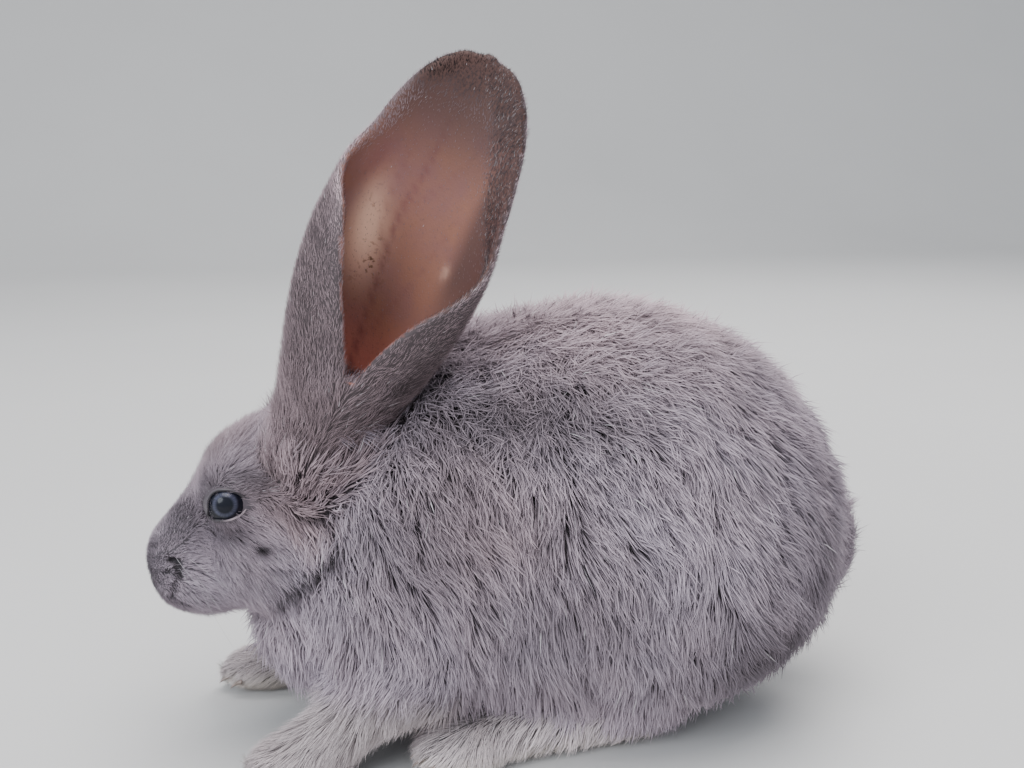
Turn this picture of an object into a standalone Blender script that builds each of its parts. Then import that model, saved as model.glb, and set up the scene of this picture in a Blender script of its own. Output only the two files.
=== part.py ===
"""A young giant rabbit crouching with its ears raised, life size, parted where a person names its parts.

The rabbit faces -X, its left side faces -Y and it rests on the plane z = 0. All numbers are metres.
The outline is that of the coat's tips. Muscles and bones are blended as one volume, that volume is
meshed once, and thin plane or oval cuts part it into head, neck, trunk, tail and limbs.
"""
import math
from collections import namedtuple

import bmesh
import bpy
import numpy as np
import openvdb
from mathutils import Matrix, Vector

NAME = "crouching_rabbit"
GAP = 0.0003                       # air left between two neighbouring parts
SHIFT = (-0.0032, 0.0, 0.0)        # sets the origin under the middle of the whole animal

# ---------------------------------------------------------------- the masses of the body
# A ball is an ellipsoid, tilted by pitch degrees (nose down is negative).
# A rod is a round limb that tapers from one radius to the other.
# reach is how far it blends into what came before. A paired mass is there on both sides.
Ball = namedtuple("Ball", "centre radii reach pitch paired", defaults=(0, False))
Rod = namedtuple("Rod", "start end radii reach paired", defaults=(False,))

TRUNK = {
    "rump": Ball((0.063, 0, 0.0735), (0.073, 0.064, 0.0745), 0.030),
    "loin": Ball((0.030, 0, 0.099), (0.073, 0.060, 0.068), 0.030),
    "ribs": Ball((-0.026, 0, 0.085), (0.062, 0.053, 0.064), 0.030),
    "belly": Ball((0.010, 0, 0.056), (0.080, 0.058, 0.048), 0.030),
    "thigh": Ball((0.060, 0.040, 0.064), (0.050, 0.032, 0.044), 0.020, 0, True),
    "shoulder": Ball((-0.046, 0.034, 0.070), (0.034, 0.024, 0.040), 0.020, 0, True),
    "breast": Ball((-0.074, 0, 0.054), (0.030, 0.034, 0.040), 0.020),
    "neck": Rod((-0.035, 0, 0.105), (-0.066, 0, 0.098), (0.040, 0.032), 0.030),
    "foreleg": Rod((-0.044, 0.042, 0.040), (-0.078, 0.041, 0.016), (0.0190, 0.0125), 0.012, True),
    "left forepaw": Ball((-0.086, -0.0415, 0.0090), (0.0200, 0.0125, 0.0105), 0.008),
    "right forepaw": Ball((-0.095, 0.0385, 0.0090), (0.0210, 0.0125, 0.0105), 0.008),
    "shin": Rod((0.058, 0.040, 0.047), (0.040, 0.033, 0.0165), (0.020, 0.0125), 0.015, True),
    "hind foot": Rod((0.044, 0.031, 0.0112), (-0.028, 0.0435, 0.0110), (0.0125, 0.0120), 0.008, True),
    "toes": Ball((-0.030, 0.0445, 0.0090), (0.0165, 0.0140, 0.0105), 0.008, 0, True),
    "tail": Ball((0.133, 0, 0.055), (0.0115, 0.0150, 0.0240), 0.008, -14),
}
HEAD = {
    "skull": Ball((-0.0820, 0, 0.1003), (0.031, 0.0255, 0.0258), 0.014, -50),
    "brow": Ball((-0.1035, 0.0135, 0.1030), (0.0140, 0.0105, 0.0115), 0.008, -50, True),
    "bridge": Rod((-0.0995, 0, 0.1045), (-0.1245, 0, 0.0775), (0.0158, 0.0140), 0.012),
    "nose": Ball((-0.1300, 0, 0.0730), (0.0083, 0.0085, 0.0083), 0.006),
    "lip": Ball((-0.1245, 0.0074, 0.0668), (0.0135, 0.0092, 0.0118), 0.006, -40, True),
    "chin": Ball((-0.1230, 0, 0.0612), (0.0125, 0.0105, 0.0095), 0.006),
    "jaw": Rod((-0.112, 0.006, 0.0640), (-0.086, 0.013, 0.076), (0.0125, 0.016), 0.010, True),
    "cheek": Ball((-0.0925, 0.0140, 0.0815), (0.024, 0.0150, 0.0205), 0.012, -40, True),
}
THROAT_REACH = 0.010               # the blend of head into trunk, short so that the jaw keeps its crease
EYE_CENTRE = (-0.1078, 0.0188, 0.0985)
EYE_RADIUS = 0.0078

# ---------------------------------------------------------------- the ears
# An ear is a sheet of skin and fur, rolled to a tube at its root and opening upwards like a scoop.
# Heights are parts of its length, from root (0) to tip (1).
EAR_HALF_THICKNESS = 0.0023
EAR_HALF_WIDTH = 0.0277
EAR_WIDEST = 0.50                  # height of the widest place
EAR_FULLNESS, EAR_BLUNTNESS = 2.6, 0.44      # fullness and bluntness of the outline towards the tip
EAR_CURL = 0.006                   # how far the tip leans away from the opening
EAR_OPEN_FROM, EAR_OPEN_TO = 0.60, 0.80
EAR_RADIUS = ((0, 0.0150), (0.09, 0.0166), (0.16, 0.0182), (0.242, 0.0214), (0.33, 0.0252),
              (0.42, 0.0282), (0.557, 0.0302), (0.7, 0.0290), (0.8, 0.0295), (1, 0.034))
EAR_FRONT_ROLL = ((0, 192), (0.09, 192), (0.15, 196), (0.22, 190), (0.30, 179), (0.38, 168),
                  (0.46, 157), (0.54, 146), (0.62, 131), (0.70, 113), (0.80, 88))      # degrees from the back
EAR_REAR_ROLL = ((0, 168), (0.09, 166), (0.15, 162), (0.25, 163), (0.33, 159), (0.40, 152),
                 (0.47, 140), (0.54, 117), (0.62, 88), (0.70, 74), (0.80, 66))
EAR_FLATNESS = ((0, 1), (0.1, 0.95), (0.3, 0.72), (0.5, 0.60), (1, 0.50))
Ear = namedtuple("Ear", "root tip facing side")
EARS = {
    "left": Ear((-0.0745, -0.003, 0.1110), (-0.0160, -0.038, 0.2510), (-0.24, -0.97, 0.1), -1),
    "right": Ear((-0.0715, 0.003, 0.1100), (-0.0030, 0.034, 0.2480), (-0.24, 0.97, 0.1), 1),
}
EAR_FULLEST_ROLL = 350             # degrees, so that its two edges stay apart
STUB_HEIGHT = 0.05                 # how far the round root of an ear stands up out of the head
EAR_CUT = 0.115                    # height at which an ear is parted from the head
EAR_ROWS, EAR_COLUMNS = 13, 11     # faces of an ear, along and across

# ---------------------------------------------------------------- where the body is parted
# Each region is bounded by planes: a point on the plane and the way out of the region. Regions
# with a side are mirrored. They are cut in this order, and what is left at the end is the trunk.
Region = namedtuple("Region", "planes sided")
REGIONS = {
    "hind_foot": Region((((-0.0565, 0, 0), (-1, 0, 0)), ((0.0520, 0, 0), (1, 0, 0)),
                         ((0, 0.0165, 0.0085), (0, -1, 0)),
                         ((0, 0.0165, 0.0085), (0, -0.40, 0.92))), True),
    "forepaw": Region((((-0.0760, 0.041, 0.0175), (0.816, 0, 0.577)),
                       ((0, 0.0225, 0), (0, -0.955, 0.296))), True),
    "foreleg": Region((((0, 0, 0.0430), (0, 0, 1)), ((-0.0262, 0, 0), (1, 0, 0)),
                       ((0, 0.0205, 0), (0, -0.955, 0.296))), True),
    "head": Region((((-0.107, 0, 0.043), (0.839, 0, -0.544)),), False),
    "neck": Region((((-0.080, 0, 0.036), (0.875, 0, -0.485)),), False),
}
THIGH_OVAL = ((0.060, 0.064), (0.051, 0.046))     # centre and radii, seen from the side
THIGH_DEPTH = 0.034                               # its inner face's distance from the middle plane
TAIL_OVAL = ((0.0, 0.0555), (0.0165, 0.0260))     # centre and radii, seen from behind
TAIL_ROOT = 0.1300

# ---------------------------------------------------------------- mesh and colours
CELL = 0.0026                      # size of the volume's cells
SHORTEST_EDGE = 0.00002
BODY_TRIANGLES = 3200
PALE_PARTS = ("hind_foot", "forepaw")
COAT = (0.255, 0.225, 0.258, 1)
COAT_LIGHT = (0.42, 0.38, 0.38, 1)
EAR_SKIN = (0.30, 0.16, 0.13, 1)
EYE_COLOUR = (0.012, 0.014, 0.020, 1)


def ball_distance(points, ball):
    """Signed distance to an ellipsoid, exact on its surface and close to it nearby."""
    offset = points - np.array(ball.centre)
    cosine = math.cos(math.radians(ball.pitch))
    sine = math.sin(math.radians(ball.pitch))
    local = np.stack((cosine * offset[:, 0] + sine * offset[:, 2], offset[:, 1],
                      cosine * offset[:, 2] - sine * offset[:, 0]), axis=1)
    radii = np.array(ball.radii)
    scaled = np.linalg.norm(local / radii, axis=1)
    slope = np.linalg.norm(local / radii ** 2, axis=1)
    return scaled * (scaled - 1) / np.maximum(slope, 1e-9)


def rod_distance(points, rod):
    """Signed distance to a tapered limb: the way to its axis less its radius there."""
    start = np.array(rod.start)
    axis = np.array(rod.end) - start
    offset = points - start
    along = np.clip(offset @ axis / (axis @ axis), 0, 1)
    first, last = rod.radii
    return np.linalg.norm(offset - along[:, None] * axis, axis=1) - (first + (last - first) * along)


def blended(near, far, reach):
    """Union of two volumes, with a fillet as wide as reach."""
    overlap = np.maximum(reach - np.abs(near - far), 0) / reach
    return np.minimum(near, far) - overlap ** 2 * reach / 4


def group_distance(points, masses):
    """Blend the masses of one group in order."""
    mirrored = points * (1, 1, 1)
    mirrored[:, 1] = np.abs(mirrored[:, 1])
    total = None
    for mass in masses.values():
        measure = ball_distance if isinstance(mass, Ball) else rod_distance
        distance = measure(mirrored if mass.paired else points, mass)
        total = distance if total is None else blended(total, distance, mass.reach)
    return total


def smooth_curve(where, table):
    """Cubic curve through the table's (place, value) pairs."""
    places, values = np.array(table, float).T
    steps = np.diff(places)
    slopes = np.diff(values) / steps
    inner = (slopes[:-1] * steps[1:] + slopes[1:] * steps[:-1]) / (steps[1:] + steps[:-1])
    tangents = np.concatenate((slopes[:1], inner, slopes[-1:]))
    index = np.clip(np.searchsorted(places, where, side="right") - 1, 0, len(places) - 2)
    width = steps[index]
    part = (where - places[index]) / width
    rise = part ** 2 * (3 - 2 * part)
    return ((1 - rise) * values[index] + rise * values[index + 1]
            + part * (1 - part) ** 2 * width * tangents[index]
            - part ** 2 * (1 - part) * width * tangents[index + 1])


def ear_frame(ear):
    """Root, length and the three directions of an ear: along it, out of its scoop, to its front edge."""
    root = np.array(ear.root) + SHIFT
    axis = np.array(ear.tip) - np.array(ear.root)
    length = np.linalg.norm(axis)
    along = axis / length
    facing = np.array(ear.facing) - np.dot(ear.facing, along) * along
    facing /= np.linalg.norm(facing)
    return root, length, along, facing, ear.side * np.cross(along, facing)


def ear_section(height):
    """Radius, front roll and rear roll (radians) of the ear's arc at a height from 0 to 1."""
    radius = smooth_curve(height, EAR_RADIUS)
    above = np.clip((height - EAR_WIDEST) / (1 - EAR_WIDEST), -1, 1)
    half_width = EAR_HALF_WIDTH * np.maximum(1 - np.abs(above) ** EAR_FULLNESS, 0) ** EAR_BLUNTNESS
    open_roll = np.arcsin(np.clip(half_width / radius, 0, 0.98))
    low = np.clip(height, 0, EAR_OPEN_TO)
    part = np.clip((height - EAR_OPEN_FROM) / (EAR_OPEN_TO - EAR_OPEN_FROM), 0, 1)
    part = part ** 2 * (3 - 2 * part)
    front = np.radians(smooth_curve(low, EAR_FRONT_ROLL)) * (1 - part) + open_roll * part
    rear = np.radians(smooth_curve(low, EAR_REAR_ROLL)) * (1 - part) + open_roll * part
    return radius, front, rear


def ear_points(ear, height, angle, proud=0.0):
    """Points of the ear's sheet at a height and an angle round its arc, set proud of it outwards."""
    root, length, along, facing, forward = ear_frame(ear)
    radius = smooth_curve(height, EAR_RADIUS)
    flat = smooth_curve(height, EAR_FLATNESS)
    across = (radius + proud) * np.sin(angle)
    depth = flat * radius - (flat * radius + proud) * np.cos(angle) - EAR_CURL * height ** 2
    return (root + (height * length)[..., None] * along
            + depth[..., None] * facing + across[..., None] * forward)


def material(name, colour, roughness):
    """Principled material of one colour."""
    made = bpy.data.materials.new(name)
    made.use_nodes = True
    shader = made.node_tree.nodes["Principled BSDF"]
    shader.inputs["Base Color"].default_value = colour
    shader.inputs["Roughness"].default_value = roughness
    shader.inputs["Metallic"].default_value = 0.0
    made.diffuse_color = colour
    return made


def weld(mesh, distance):
    """Merge the mesh's points that lie closer together than distance."""
    edit = bmesh.new()
    edit.from_mesh(mesh)
    bmesh.ops.remove_doubles(edit, verts=edit.verts, dist=distance)
    edit.to_mesh(mesh)
    edit.free()


def add_mesh(name, vertices, faces, collection):
    """Object from vertices and faces, with its faces turned outwards."""
    mesh = bpy.data.meshes.new(name)
    mesh.from_pydata([tuple(vertex) for vertex in vertices], [], [tuple(face) for face in faces])
    edit = bmesh.new()
    edit.from_mesh(mesh)
    bmesh.ops.recalc_face_normals(edit, faces=edit.faces)
    edit.to_mesh(mesh)
    edit.free()
    made = bpy.data.objects.new(name, mesh)
    collection.objects.link(made)
    return made


def evaluated_mesh(source):
    """The source object's mesh with its modifiers applied, and its shortest edges closed up."""
    graph = bpy.context.evaluated_depsgraph_get()
    mesh = bpy.data.meshes.new_from_object(source.evaluated_get(graph))
    weld(mesh, SHORTEST_EDGE)
    return mesh


def cut(source, cutter, operation, name=None):
    """Cut the source with a cutter: INTERSECT gives a new object, DIFFERENCE changes the source."""
    trial = source.copy()
    source.users_collection[0].objects.link(trial)
    boolean = trial.modifiers.new("Cut", "BOOLEAN")
    boolean.operation = operation
    boolean.solver = "EXACT"
    boolean.object = cutter
    bpy.context.view_layer.update()
    result = evaluated_mesh(trial)
    trial.modifiers.clear()
    if name is None:
        bpy.data.objects.remove(trial)
        source.data = result
        return source
    trial.name = name
    trial.data = result
    result.name = name
    return trial


def body_volume():
    """The whole animal but its ears as one closed mesh, from the blended masses."""
    low, high = np.array((-0.150, -0.082, -0.010)), np.array((0.156, 0.082, 0.184))
    counts = np.ceil((high - low) / CELL).astype(int)
    lines = [start + CELL * np.arange(count) for start, count in zip(low, counts)]
    x, y, z = np.meshgrid(*lines, indexing="ij")
    distances = body_distance(np.stack((x.ravel(), y.ravel(), z.ravel()), axis=1))
    grid = openvdb.FloatGrid(background=1.0)
    grid.copyFromArray((distances / CELL).reshape(counts).astype(np.float32))
    cells, quads = grid.convertToQuads(isovalue=0.0)
    return low + CELL * np.array(cells, float), quads


def body_distance(points):
    """Signed distance to the coat's tips, without the ears' sheets but with their roots."""
    points = points - np.array(SHIFT)
    total = blended(group_distance(points, TRUNK), group_distance(points, HEAD), THROAT_REACH)
    for ear in EARS.values():
        root, length, along, facing, forward = ear_frame(ear)
        radius = EAR_RADIUS[1][1]
        foot = root - SHIFT + radius * facing
        stub = Rod(tuple(foot), tuple(foot + STUB_HEIGHT * length * along),
                   (radius * 0.8, radius + EAR_HALF_THICKNESS), 0.010)
        total = blended(total, rod_distance(points, stub), stub.reach)
    return total


def filed(made, name, collection):
    """Move a new object to the collection of cutters; a cutter stays out of the model."""
    for home in list(made.users_collection):
        home.objects.unlink(made)
    collection.objects.link(made)
    made.name = name
    made.hide_render = True
    made.display_type = "WIRE"
    return made


def region_cutter(name, planes, side, collection, grow=0.0):
    """Convex cutter: a large cube cut back to the planes, each set out by grow."""
    edit = bmesh.new()
    bmesh.ops.create_cube(edit, size=1.0)
    for point, outward in planes:
        normal = Vector((outward[0], outward[1] * side, outward[2])).normalized()
        place = Vector((point[0], point[1] * side, point[2])) + Vector(SHIFT) + grow * normal
        geometry = edit.verts[:] + edit.edges[:] + edit.faces[:]
        trimmed = bmesh.ops.bisect_plane(edit, geom=geometry, plane_co=place, plane_no=normal,
                                         clear_outer=True)
        rim = [item for item in trimmed["geom_cut"] if isinstance(item, bmesh.types.BMEdge)]
        bmesh.ops.contextual_create(edit, geom=rim)
    bmesh.ops.recalc_face_normals(edit, faces=edit.faces)
    mesh = bpy.data.meshes.new(name)
    edit.to_mesh(mesh)
    edit.free()
    made = bpy.data.objects.new(name, mesh)
    collection.objects.link(made)
    return filed(made, name, collection)


def oval_cutter(name, axis, oval, side, start, collection, grow=0.0):
    """Oval column cutter that runs outwards along Y or X from its start."""
    centre, radii = oval
    reach = 0.1
    bpy.ops.mesh.primitive_cylinder_add(vertices=32, radius=1, depth=1)
    made = bpy.context.object
    size = Matrix.Diagonal((radii[0] + grow, radii[1] + grow, reach + 2 * grow, 1))
    middle = start + reach / 2
    if axis == "Y":
        turn = Matrix.Rotation(math.pi / 2, 4, "X")
        place = Vector((centre[0], side * middle, centre[1]))
    else:
        turn = Matrix.Rotation(math.pi / 2, 4, "Z") @ Matrix.Rotation(math.pi / 2, 4, "X")
        place = Vector((middle, centre[0], centre[1]))
    made.data.transform(Matrix.Translation(place + Vector(SHIFT)) @ turn @ size)
    return filed(made, name, collection)


def ear_solid(name, ear, collection, cutters):
    """The ear's sheet, thickened, and trimmed square where it stands on the head."""
    rows = EAR_CUT * 0.6 + (1 - EAR_CUT * 0.6) * (1 - (1 - np.linspace(0, 1, EAR_ROWS + 1)) ** 1.5)
    radius, front, rear = ear_section(rows)
    excess = np.maximum(front + rear - math.radians(EAR_FULLEST_ROLL), 0)
    part = np.linspace(0, 1, EAR_COLUMNS + 1)
    angle = -rear[:, None] + (front + rear - excess)[:, None] * part
    height = np.broadcast_to(rows[:, None], angle.shape)
    points = ear_points(ear, height, angle).reshape(-1, 3)
    corner = np.arange(EAR_ROWS)[:, None] * (EAR_COLUMNS + 1) + np.arange(EAR_COLUMNS)
    faces = np.stack((corner, corner + 1, corner + EAR_COLUMNS + 2, corner + EAR_COLUMNS + 1), -1)
    sheet = add_mesh(name, points, faces.reshape(-1, 4), collection)
    weld(sheet.data, SHORTEST_EDGE)
    solidify = sheet.modifiers.new("Thickness", "SOLIDIFY")
    solidify.thickness = 2 * EAR_HALF_THICKNESS
    solidify.offset = 0.0
    root, length, along, facing, forward = ear_frame(ear)
    seat = root - SHIFT + EAR_CUT * length * along
    keep = region_cutter("seat_of_" + name, ((seat, -along),), 1, cutters)
    boolean = sheet.modifiers.new("Seat", "BOOLEAN")
    boolean.operation = "INTERSECT"
    boolean.solver = "EXACT"
    boolean.object = keep
    return sheet


def ear_clearance(name, ear, cutters):
    """The room that the rolled lower ear takes, with its gap: a column round the ear's arc."""
    sides, rings = 32, 9
    length = ear_frame(ear)[1]
    heights = np.linspace(EAR_CUT - GAP / length, 0.60, rings)
    angle = np.broadcast_to(np.linspace(0, 2 * math.pi, sides, endpoint=False), (rings, sides))
    height = np.broadcast_to(heights[:, None], angle.shape)
    points = ear_points(ear, height, angle, EAR_HALF_THICKNESS + 2 * GAP).reshape(-1, 3)
    ring = np.arange(sides)
    following = (ring + 1) % sides
    level = np.arange(rings - 1)[:, None] * sides
    walls = np.stack((level + ring, level + following, level + sides + following, level + sides + ring), -1)
    faces = [tuple(face) for face in walls.reshape(-1, 4)]
    faces += [tuple(ring), tuple(ring + (rings - 1) * sides)]
    return filed(add_mesh(name, points, faces, cutters), name, cutters)


def finish(part, coat):
    """Give a part its one material and smooth shading with crisp cut edges."""
    part.data.materials.clear()
    part.data.materials.append(coat)
    part.data.shade_smooth()
    part.data.set_sharp_from_angle(angle=math.radians(35))
    return part


def build():
    """Mesh the body once, part it, and add the ears and eyes."""
    for old in list(bpy.data.objects):
        bpy.data.objects.remove(old, do_unlink=True)
    model = bpy.data.collections.new(NAME)
    cutters = bpy.data.collections.new("cutters")
    bpy.context.scene.collection.children.link(model)
    bpy.context.scene.collection.children.link(cutters)
    coat = material("coat", COAT, 0.85)
    pale_coat = material("pale_coat", COAT_LIGHT, 0.85)
    ear_skin = material("ear_skin", EAR_SKIN, 0.6)
    eye_colour = material("eye", EYE_COLOUR, 0.08)

    body = add_mesh("trunk", *body_volume(), model)
    decimate = body.modifiers.new("Facets", "DECIMATE")
    decimate.ratio = BODY_TRIANGLES / (2 * len(body.data.polygons))
    body.data = evaluated_mesh(body)
    body.modifiers.clear()
    cut(body, region_cutter("floor", (((0, 0, 0), (0, 0, 1)),), 1, cutters), "DIFFERENCE")

    for side_name, ear in EARS.items():
        cut(body, ear_clearance("room_for_ear_" + side_name, ear, cutters), "DIFFERENCE")
        finish(ear_solid("ear_" + side_name, ear, model, cutters), ear_skin)

    for side_name, side in (("left", -1), ("right", 1)):
        centre = Vector((EYE_CENTRE[0], side * EYE_CENTRE[1], EYE_CENTRE[2])) + Vector(SHIFT)
        bpy.ops.mesh.primitive_uv_sphere_add(segments=16, ring_count=9, radius=EYE_RADIUS + GAP)
        socket = filed(bpy.context.object, "socket_" + side_name, cutters)
        socket.location = centre
        cut(body, socket, "DIFFERENCE")
        bpy.ops.mesh.primitive_uv_sphere_add(segments=16, ring_count=9, radius=EYE_RADIUS)
        eye = bpy.context.object
        for home in list(eye.users_collection):
            home.objects.unlink(eye)
        model.objects.link(eye)
        eye.name = "eye_" + side_name
        eye.location = centre
        finish(eye, eye_colour)

    sides = (("_left", -1), ("_right", 1))
    for part_name, region in REGIONS.items():
        for suffix, side in sides if region.sided else (("", 1),):
            name = part_name + suffix
            exact = region_cutter("in_" + name, region.planes, side, cutters)
            roomy = region_cutter("round_" + name, region.planes, side, cutters, GAP)
            part = cut(body, exact, "INTERSECT", name)
            cut(body, roomy, "DIFFERENCE")
            finish(part, pale_coat if part_name in PALE_PARTS else coat)
    ovals = [("thigh" + suffix, "Y", THIGH_OVAL, side, THIGH_DEPTH) for suffix, side in sides]
    ovals.append(("tail", "X", TAIL_OVAL, 1, TAIL_ROOT))
    for name, axis, oval, side, start in ovals:
        exact = oval_cutter("in_" + name, axis, oval, side, start, cutters)
        roomy = oval_cutter("round_" + name, axis, oval, side, start, cutters, GAP)
        part = cut(body, exact, "INTERSECT", name)
        cut(body, roomy, "DIFFERENCE")
        finish(part, coat)
    finish(body, coat)


build()
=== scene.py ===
# %% [markdown]
# # A young grey rabbit, resting with its ears raised
#
# The rabbit is one skin under a coat of many small tufts, with two eyes, claws and whiskers added.
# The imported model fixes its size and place. This script makes the looks around it: it works out
# one volume for the whole animal, meshes its skin, and plants the coat on that skin.

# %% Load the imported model
import math
from collections import namedtuple

import bmesh
import bpy
import numpy as np
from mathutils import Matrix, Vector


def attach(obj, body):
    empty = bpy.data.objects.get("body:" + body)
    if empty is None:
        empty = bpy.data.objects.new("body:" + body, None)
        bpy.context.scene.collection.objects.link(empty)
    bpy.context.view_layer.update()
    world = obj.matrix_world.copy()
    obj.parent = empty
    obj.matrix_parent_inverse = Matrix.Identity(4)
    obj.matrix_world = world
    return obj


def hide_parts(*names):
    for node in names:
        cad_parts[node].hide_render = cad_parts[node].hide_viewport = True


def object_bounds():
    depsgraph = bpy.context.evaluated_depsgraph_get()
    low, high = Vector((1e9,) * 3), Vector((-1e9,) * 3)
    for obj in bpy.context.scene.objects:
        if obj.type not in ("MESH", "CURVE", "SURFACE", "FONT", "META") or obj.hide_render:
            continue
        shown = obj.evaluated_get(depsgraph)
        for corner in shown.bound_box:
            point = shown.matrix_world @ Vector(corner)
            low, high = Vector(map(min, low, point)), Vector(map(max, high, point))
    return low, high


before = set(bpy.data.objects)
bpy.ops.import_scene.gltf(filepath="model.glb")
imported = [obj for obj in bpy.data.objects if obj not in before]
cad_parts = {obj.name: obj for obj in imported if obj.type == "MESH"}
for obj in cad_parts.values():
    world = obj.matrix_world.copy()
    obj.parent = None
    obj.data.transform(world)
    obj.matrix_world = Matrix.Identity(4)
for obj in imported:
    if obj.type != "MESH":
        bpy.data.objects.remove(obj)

import openvdb

packed_low, packed_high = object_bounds()
packed_low, packed_high = np.array(packed_low), np.array(packed_high)
print("packed box", packed_low.round(4), packed_high.round(4))
SHIFT = np.array((-0.0032, 0.0, 0.0))     # from the body table's origin to the model's origin
MM = 0.001

# %% [markdown]
# ## The masses of the body
#
# Under its coat a rabbit is a few full masses: rump, loin, ribs, thighs, shoulders, and a head of
# skull, cheeks and muzzle. Each is an ellipsoid (Ball) or a tapered rod (Rod), and neighbours melt
# into one another with a fillet. The table gives the outline at the tips of the coat, as the packed
# solids have it. Beside each mass stands its coat: how deep the hair stands, how long it is, and
# the way it lies (back, out from the middle, up). Sculpting by hand would give the same forms, but
# a table can be read, and skin and coat can both be worked out from it.

# %% The body table
Ball = namedtuple("Ball", "centre radii reach pitch paired", defaults=(0, False))
Rod = namedtuple("Rod", "start end radii reach paired", defaults=(False,))
Coat = namedtuple("Coat", "depth length lie")           # depth and length in mm

TRUNK = {
    "rump": (Ball((0.063, 0, 0.0735), (0.073, 0.064, 0.0745), 0.030), Coat(9.0, 16, (0.32, 0, -0.95))),
    "loin": (Ball((0.030, 0, 0.099), (0.073, 0.060, 0.068), 0.030), Coat(9.5, 16, (0.26, 0, -0.97))),
    "ribs": (Ball((-0.026, 0, 0.085), (0.062, 0.053, 0.064), 0.030), Coat(9.5, 15, (0.14, 0, -0.99))),
    "belly": (Ball((0.010, 0, 0.056), (0.080, 0.058, 0.048), 0.030), Coat(9.0, 19, (0.06, 0.1, -1))),
    "thigh": (Ball((0.060, 0.040, 0.064), (0.050, 0.032, 0.044), 0.020, 0, True),
              Coat(8.0, 17, (0.22, 0, -0.98))),
    "shoulder": (Ball((-0.046, 0.034, 0.070), (0.034, 0.024, 0.040), 0.020, 0, True),
                 Coat(8.5, 14, (0.38, 0, -0.93))),
    "breast": (Ball((-0.074, 0, 0.054), (0.030, 0.034, 0.040), 0.020), Coat(9.0, 14, (0.50, 0.1, -0.86))),
    "neck": (Rod((-0.035, 0, 0.105), (-0.066, 0, 0.098), (0.040, 0.032), 0.030),
             Coat(8.0, 13, (0.90, 0.1, -0.40))),
    "foreleg": (Rod((-0.044, 0.042, 0.040), (-0.078, 0.041, 0.016), (0.0190, 0.0125), 0.012, True),
                Coat(4.0, 10, (-0.42, 0, -0.90))),
    "left forepaw": (Ball((-0.086, -0.0415, 0.0090), (0.0200, 0.0125, 0.0105), 0.008),
                     Coat(2.4, 8, (-0.85, 0, -0.50))),
    "right forepaw": (Ball((-0.095, 0.0385, 0.0090), (0.0210, 0.0125, 0.0105), 0.008),
                      Coat(2.4, 8, (-0.85, 0, -0.50))),
    "shin": (Rod((0.058, 0.040, 0.047), (0.040, 0.033, 0.0165), (0.020, 0.0125), 0.015, True),
             Coat(5.0, 12, (-0.10, 0, -1))),
    "hind foot": (Rod((0.044, 0.031, 0.0112), (-0.028, 0.0435, 0.0110), (0.0125, 0.0120), 0.008, True),
                  Coat(3.0, 10, (-0.55, 0, -0.80))),
    "toes": (Ball((-0.030, 0.0445, 0.0090), (0.0165, 0.0140, 0.0105), 0.008, 0, True),
             Coat(2.4, 8, (-0.80, 0, -0.55))),
    "tail": (Ball((0.133, 0, 0.055), (0.0115, 0.0150, 0.0240), 0.008, -14), Coat(4.2, 12, (0.2, 0, 1))),
}
HEAD = {
    "skull": (Ball((-0.0820, 0, 0.1003), (0.031, 0.0255, 0.0258), 0.014, -50),
              Coat(4.5, 9, (0.95, 0.15, 0.12))),
    "brow": (Ball((-0.1035, 0.0135, 0.1030), (0.0140, 0.0105, 0.0115), 0.008, -50, True),
             Coat(2.8, 5.5, (0.80, 0.10, 0.45))),
    "bridge": (Rod((-0.0995, 0, 0.1045), (-0.1245, 0, 0.0775), (0.0158, 0.0140), 0.012),
               Coat(2.2, 4.5, (0.66, 0.15, 0.66))),
    "nose": (Ball((-0.1300, 0, 0.0730), (0.0083, 0.0085, 0.0083), 0.006), Coat(1.1, 2.4, (0.6, 0.4, 0.6))),
    "lip": (Ball((-0.1245, 0.0074, 0.0668), (0.0135, 0.0092, 0.0118), 0.006, -40, True),
            Coat(2.0, 4.5, (0.90, 0.3, -0.20))),
    "chin": (Ball((-0.1230, 0, 0.0612), (0.0125, 0.0105, 0.0095), 0.006), Coat(2.4, 6, (0.90, 0.1, -0.40))),
    "jaw": (Rod((-0.112, 0.006, 0.0640), (-0.086, 0.013, 0.076), (0.0125, 0.016), 0.010, True),
            Coat(4.0, 8, (0.86, 0.1, -0.42))),
    "cheek": (Ball((-0.0925, 0.0140, 0.0815), (0.024, 0.0150, 0.0205), 0.012, -40, True),
              Coat(4.6, 9, (0.90, 0.1, -0.34))),
}
THROAT_REACH = 0.010                    # the short fillet between head and trunk keeps the jaw's crease
MELT = 0.0050                           # how far one mass's coat runs into the next one's
EYE_CENTRE = np.array((-0.1078, 0.0188, 0.0985))
EYE_RADIUS = 0.0078
GAZE = np.array((-0.06, 0.975, 0.19))
GAZE /= np.linalg.norm(GAZE)
print(len(TRUNK) + len(HEAD), "masses")

# %% [markdown]
# ### Distances
#
# Every mass has a signed distance, below zero inside it and above zero outside. Neighbours are joined
# by a smooth minimum, which rounds the crease between them as flesh does. Joining solid balls and
# rods would leave hard creases, to be smoothed away later together with the detail.

# %% Distances to the masses


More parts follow.
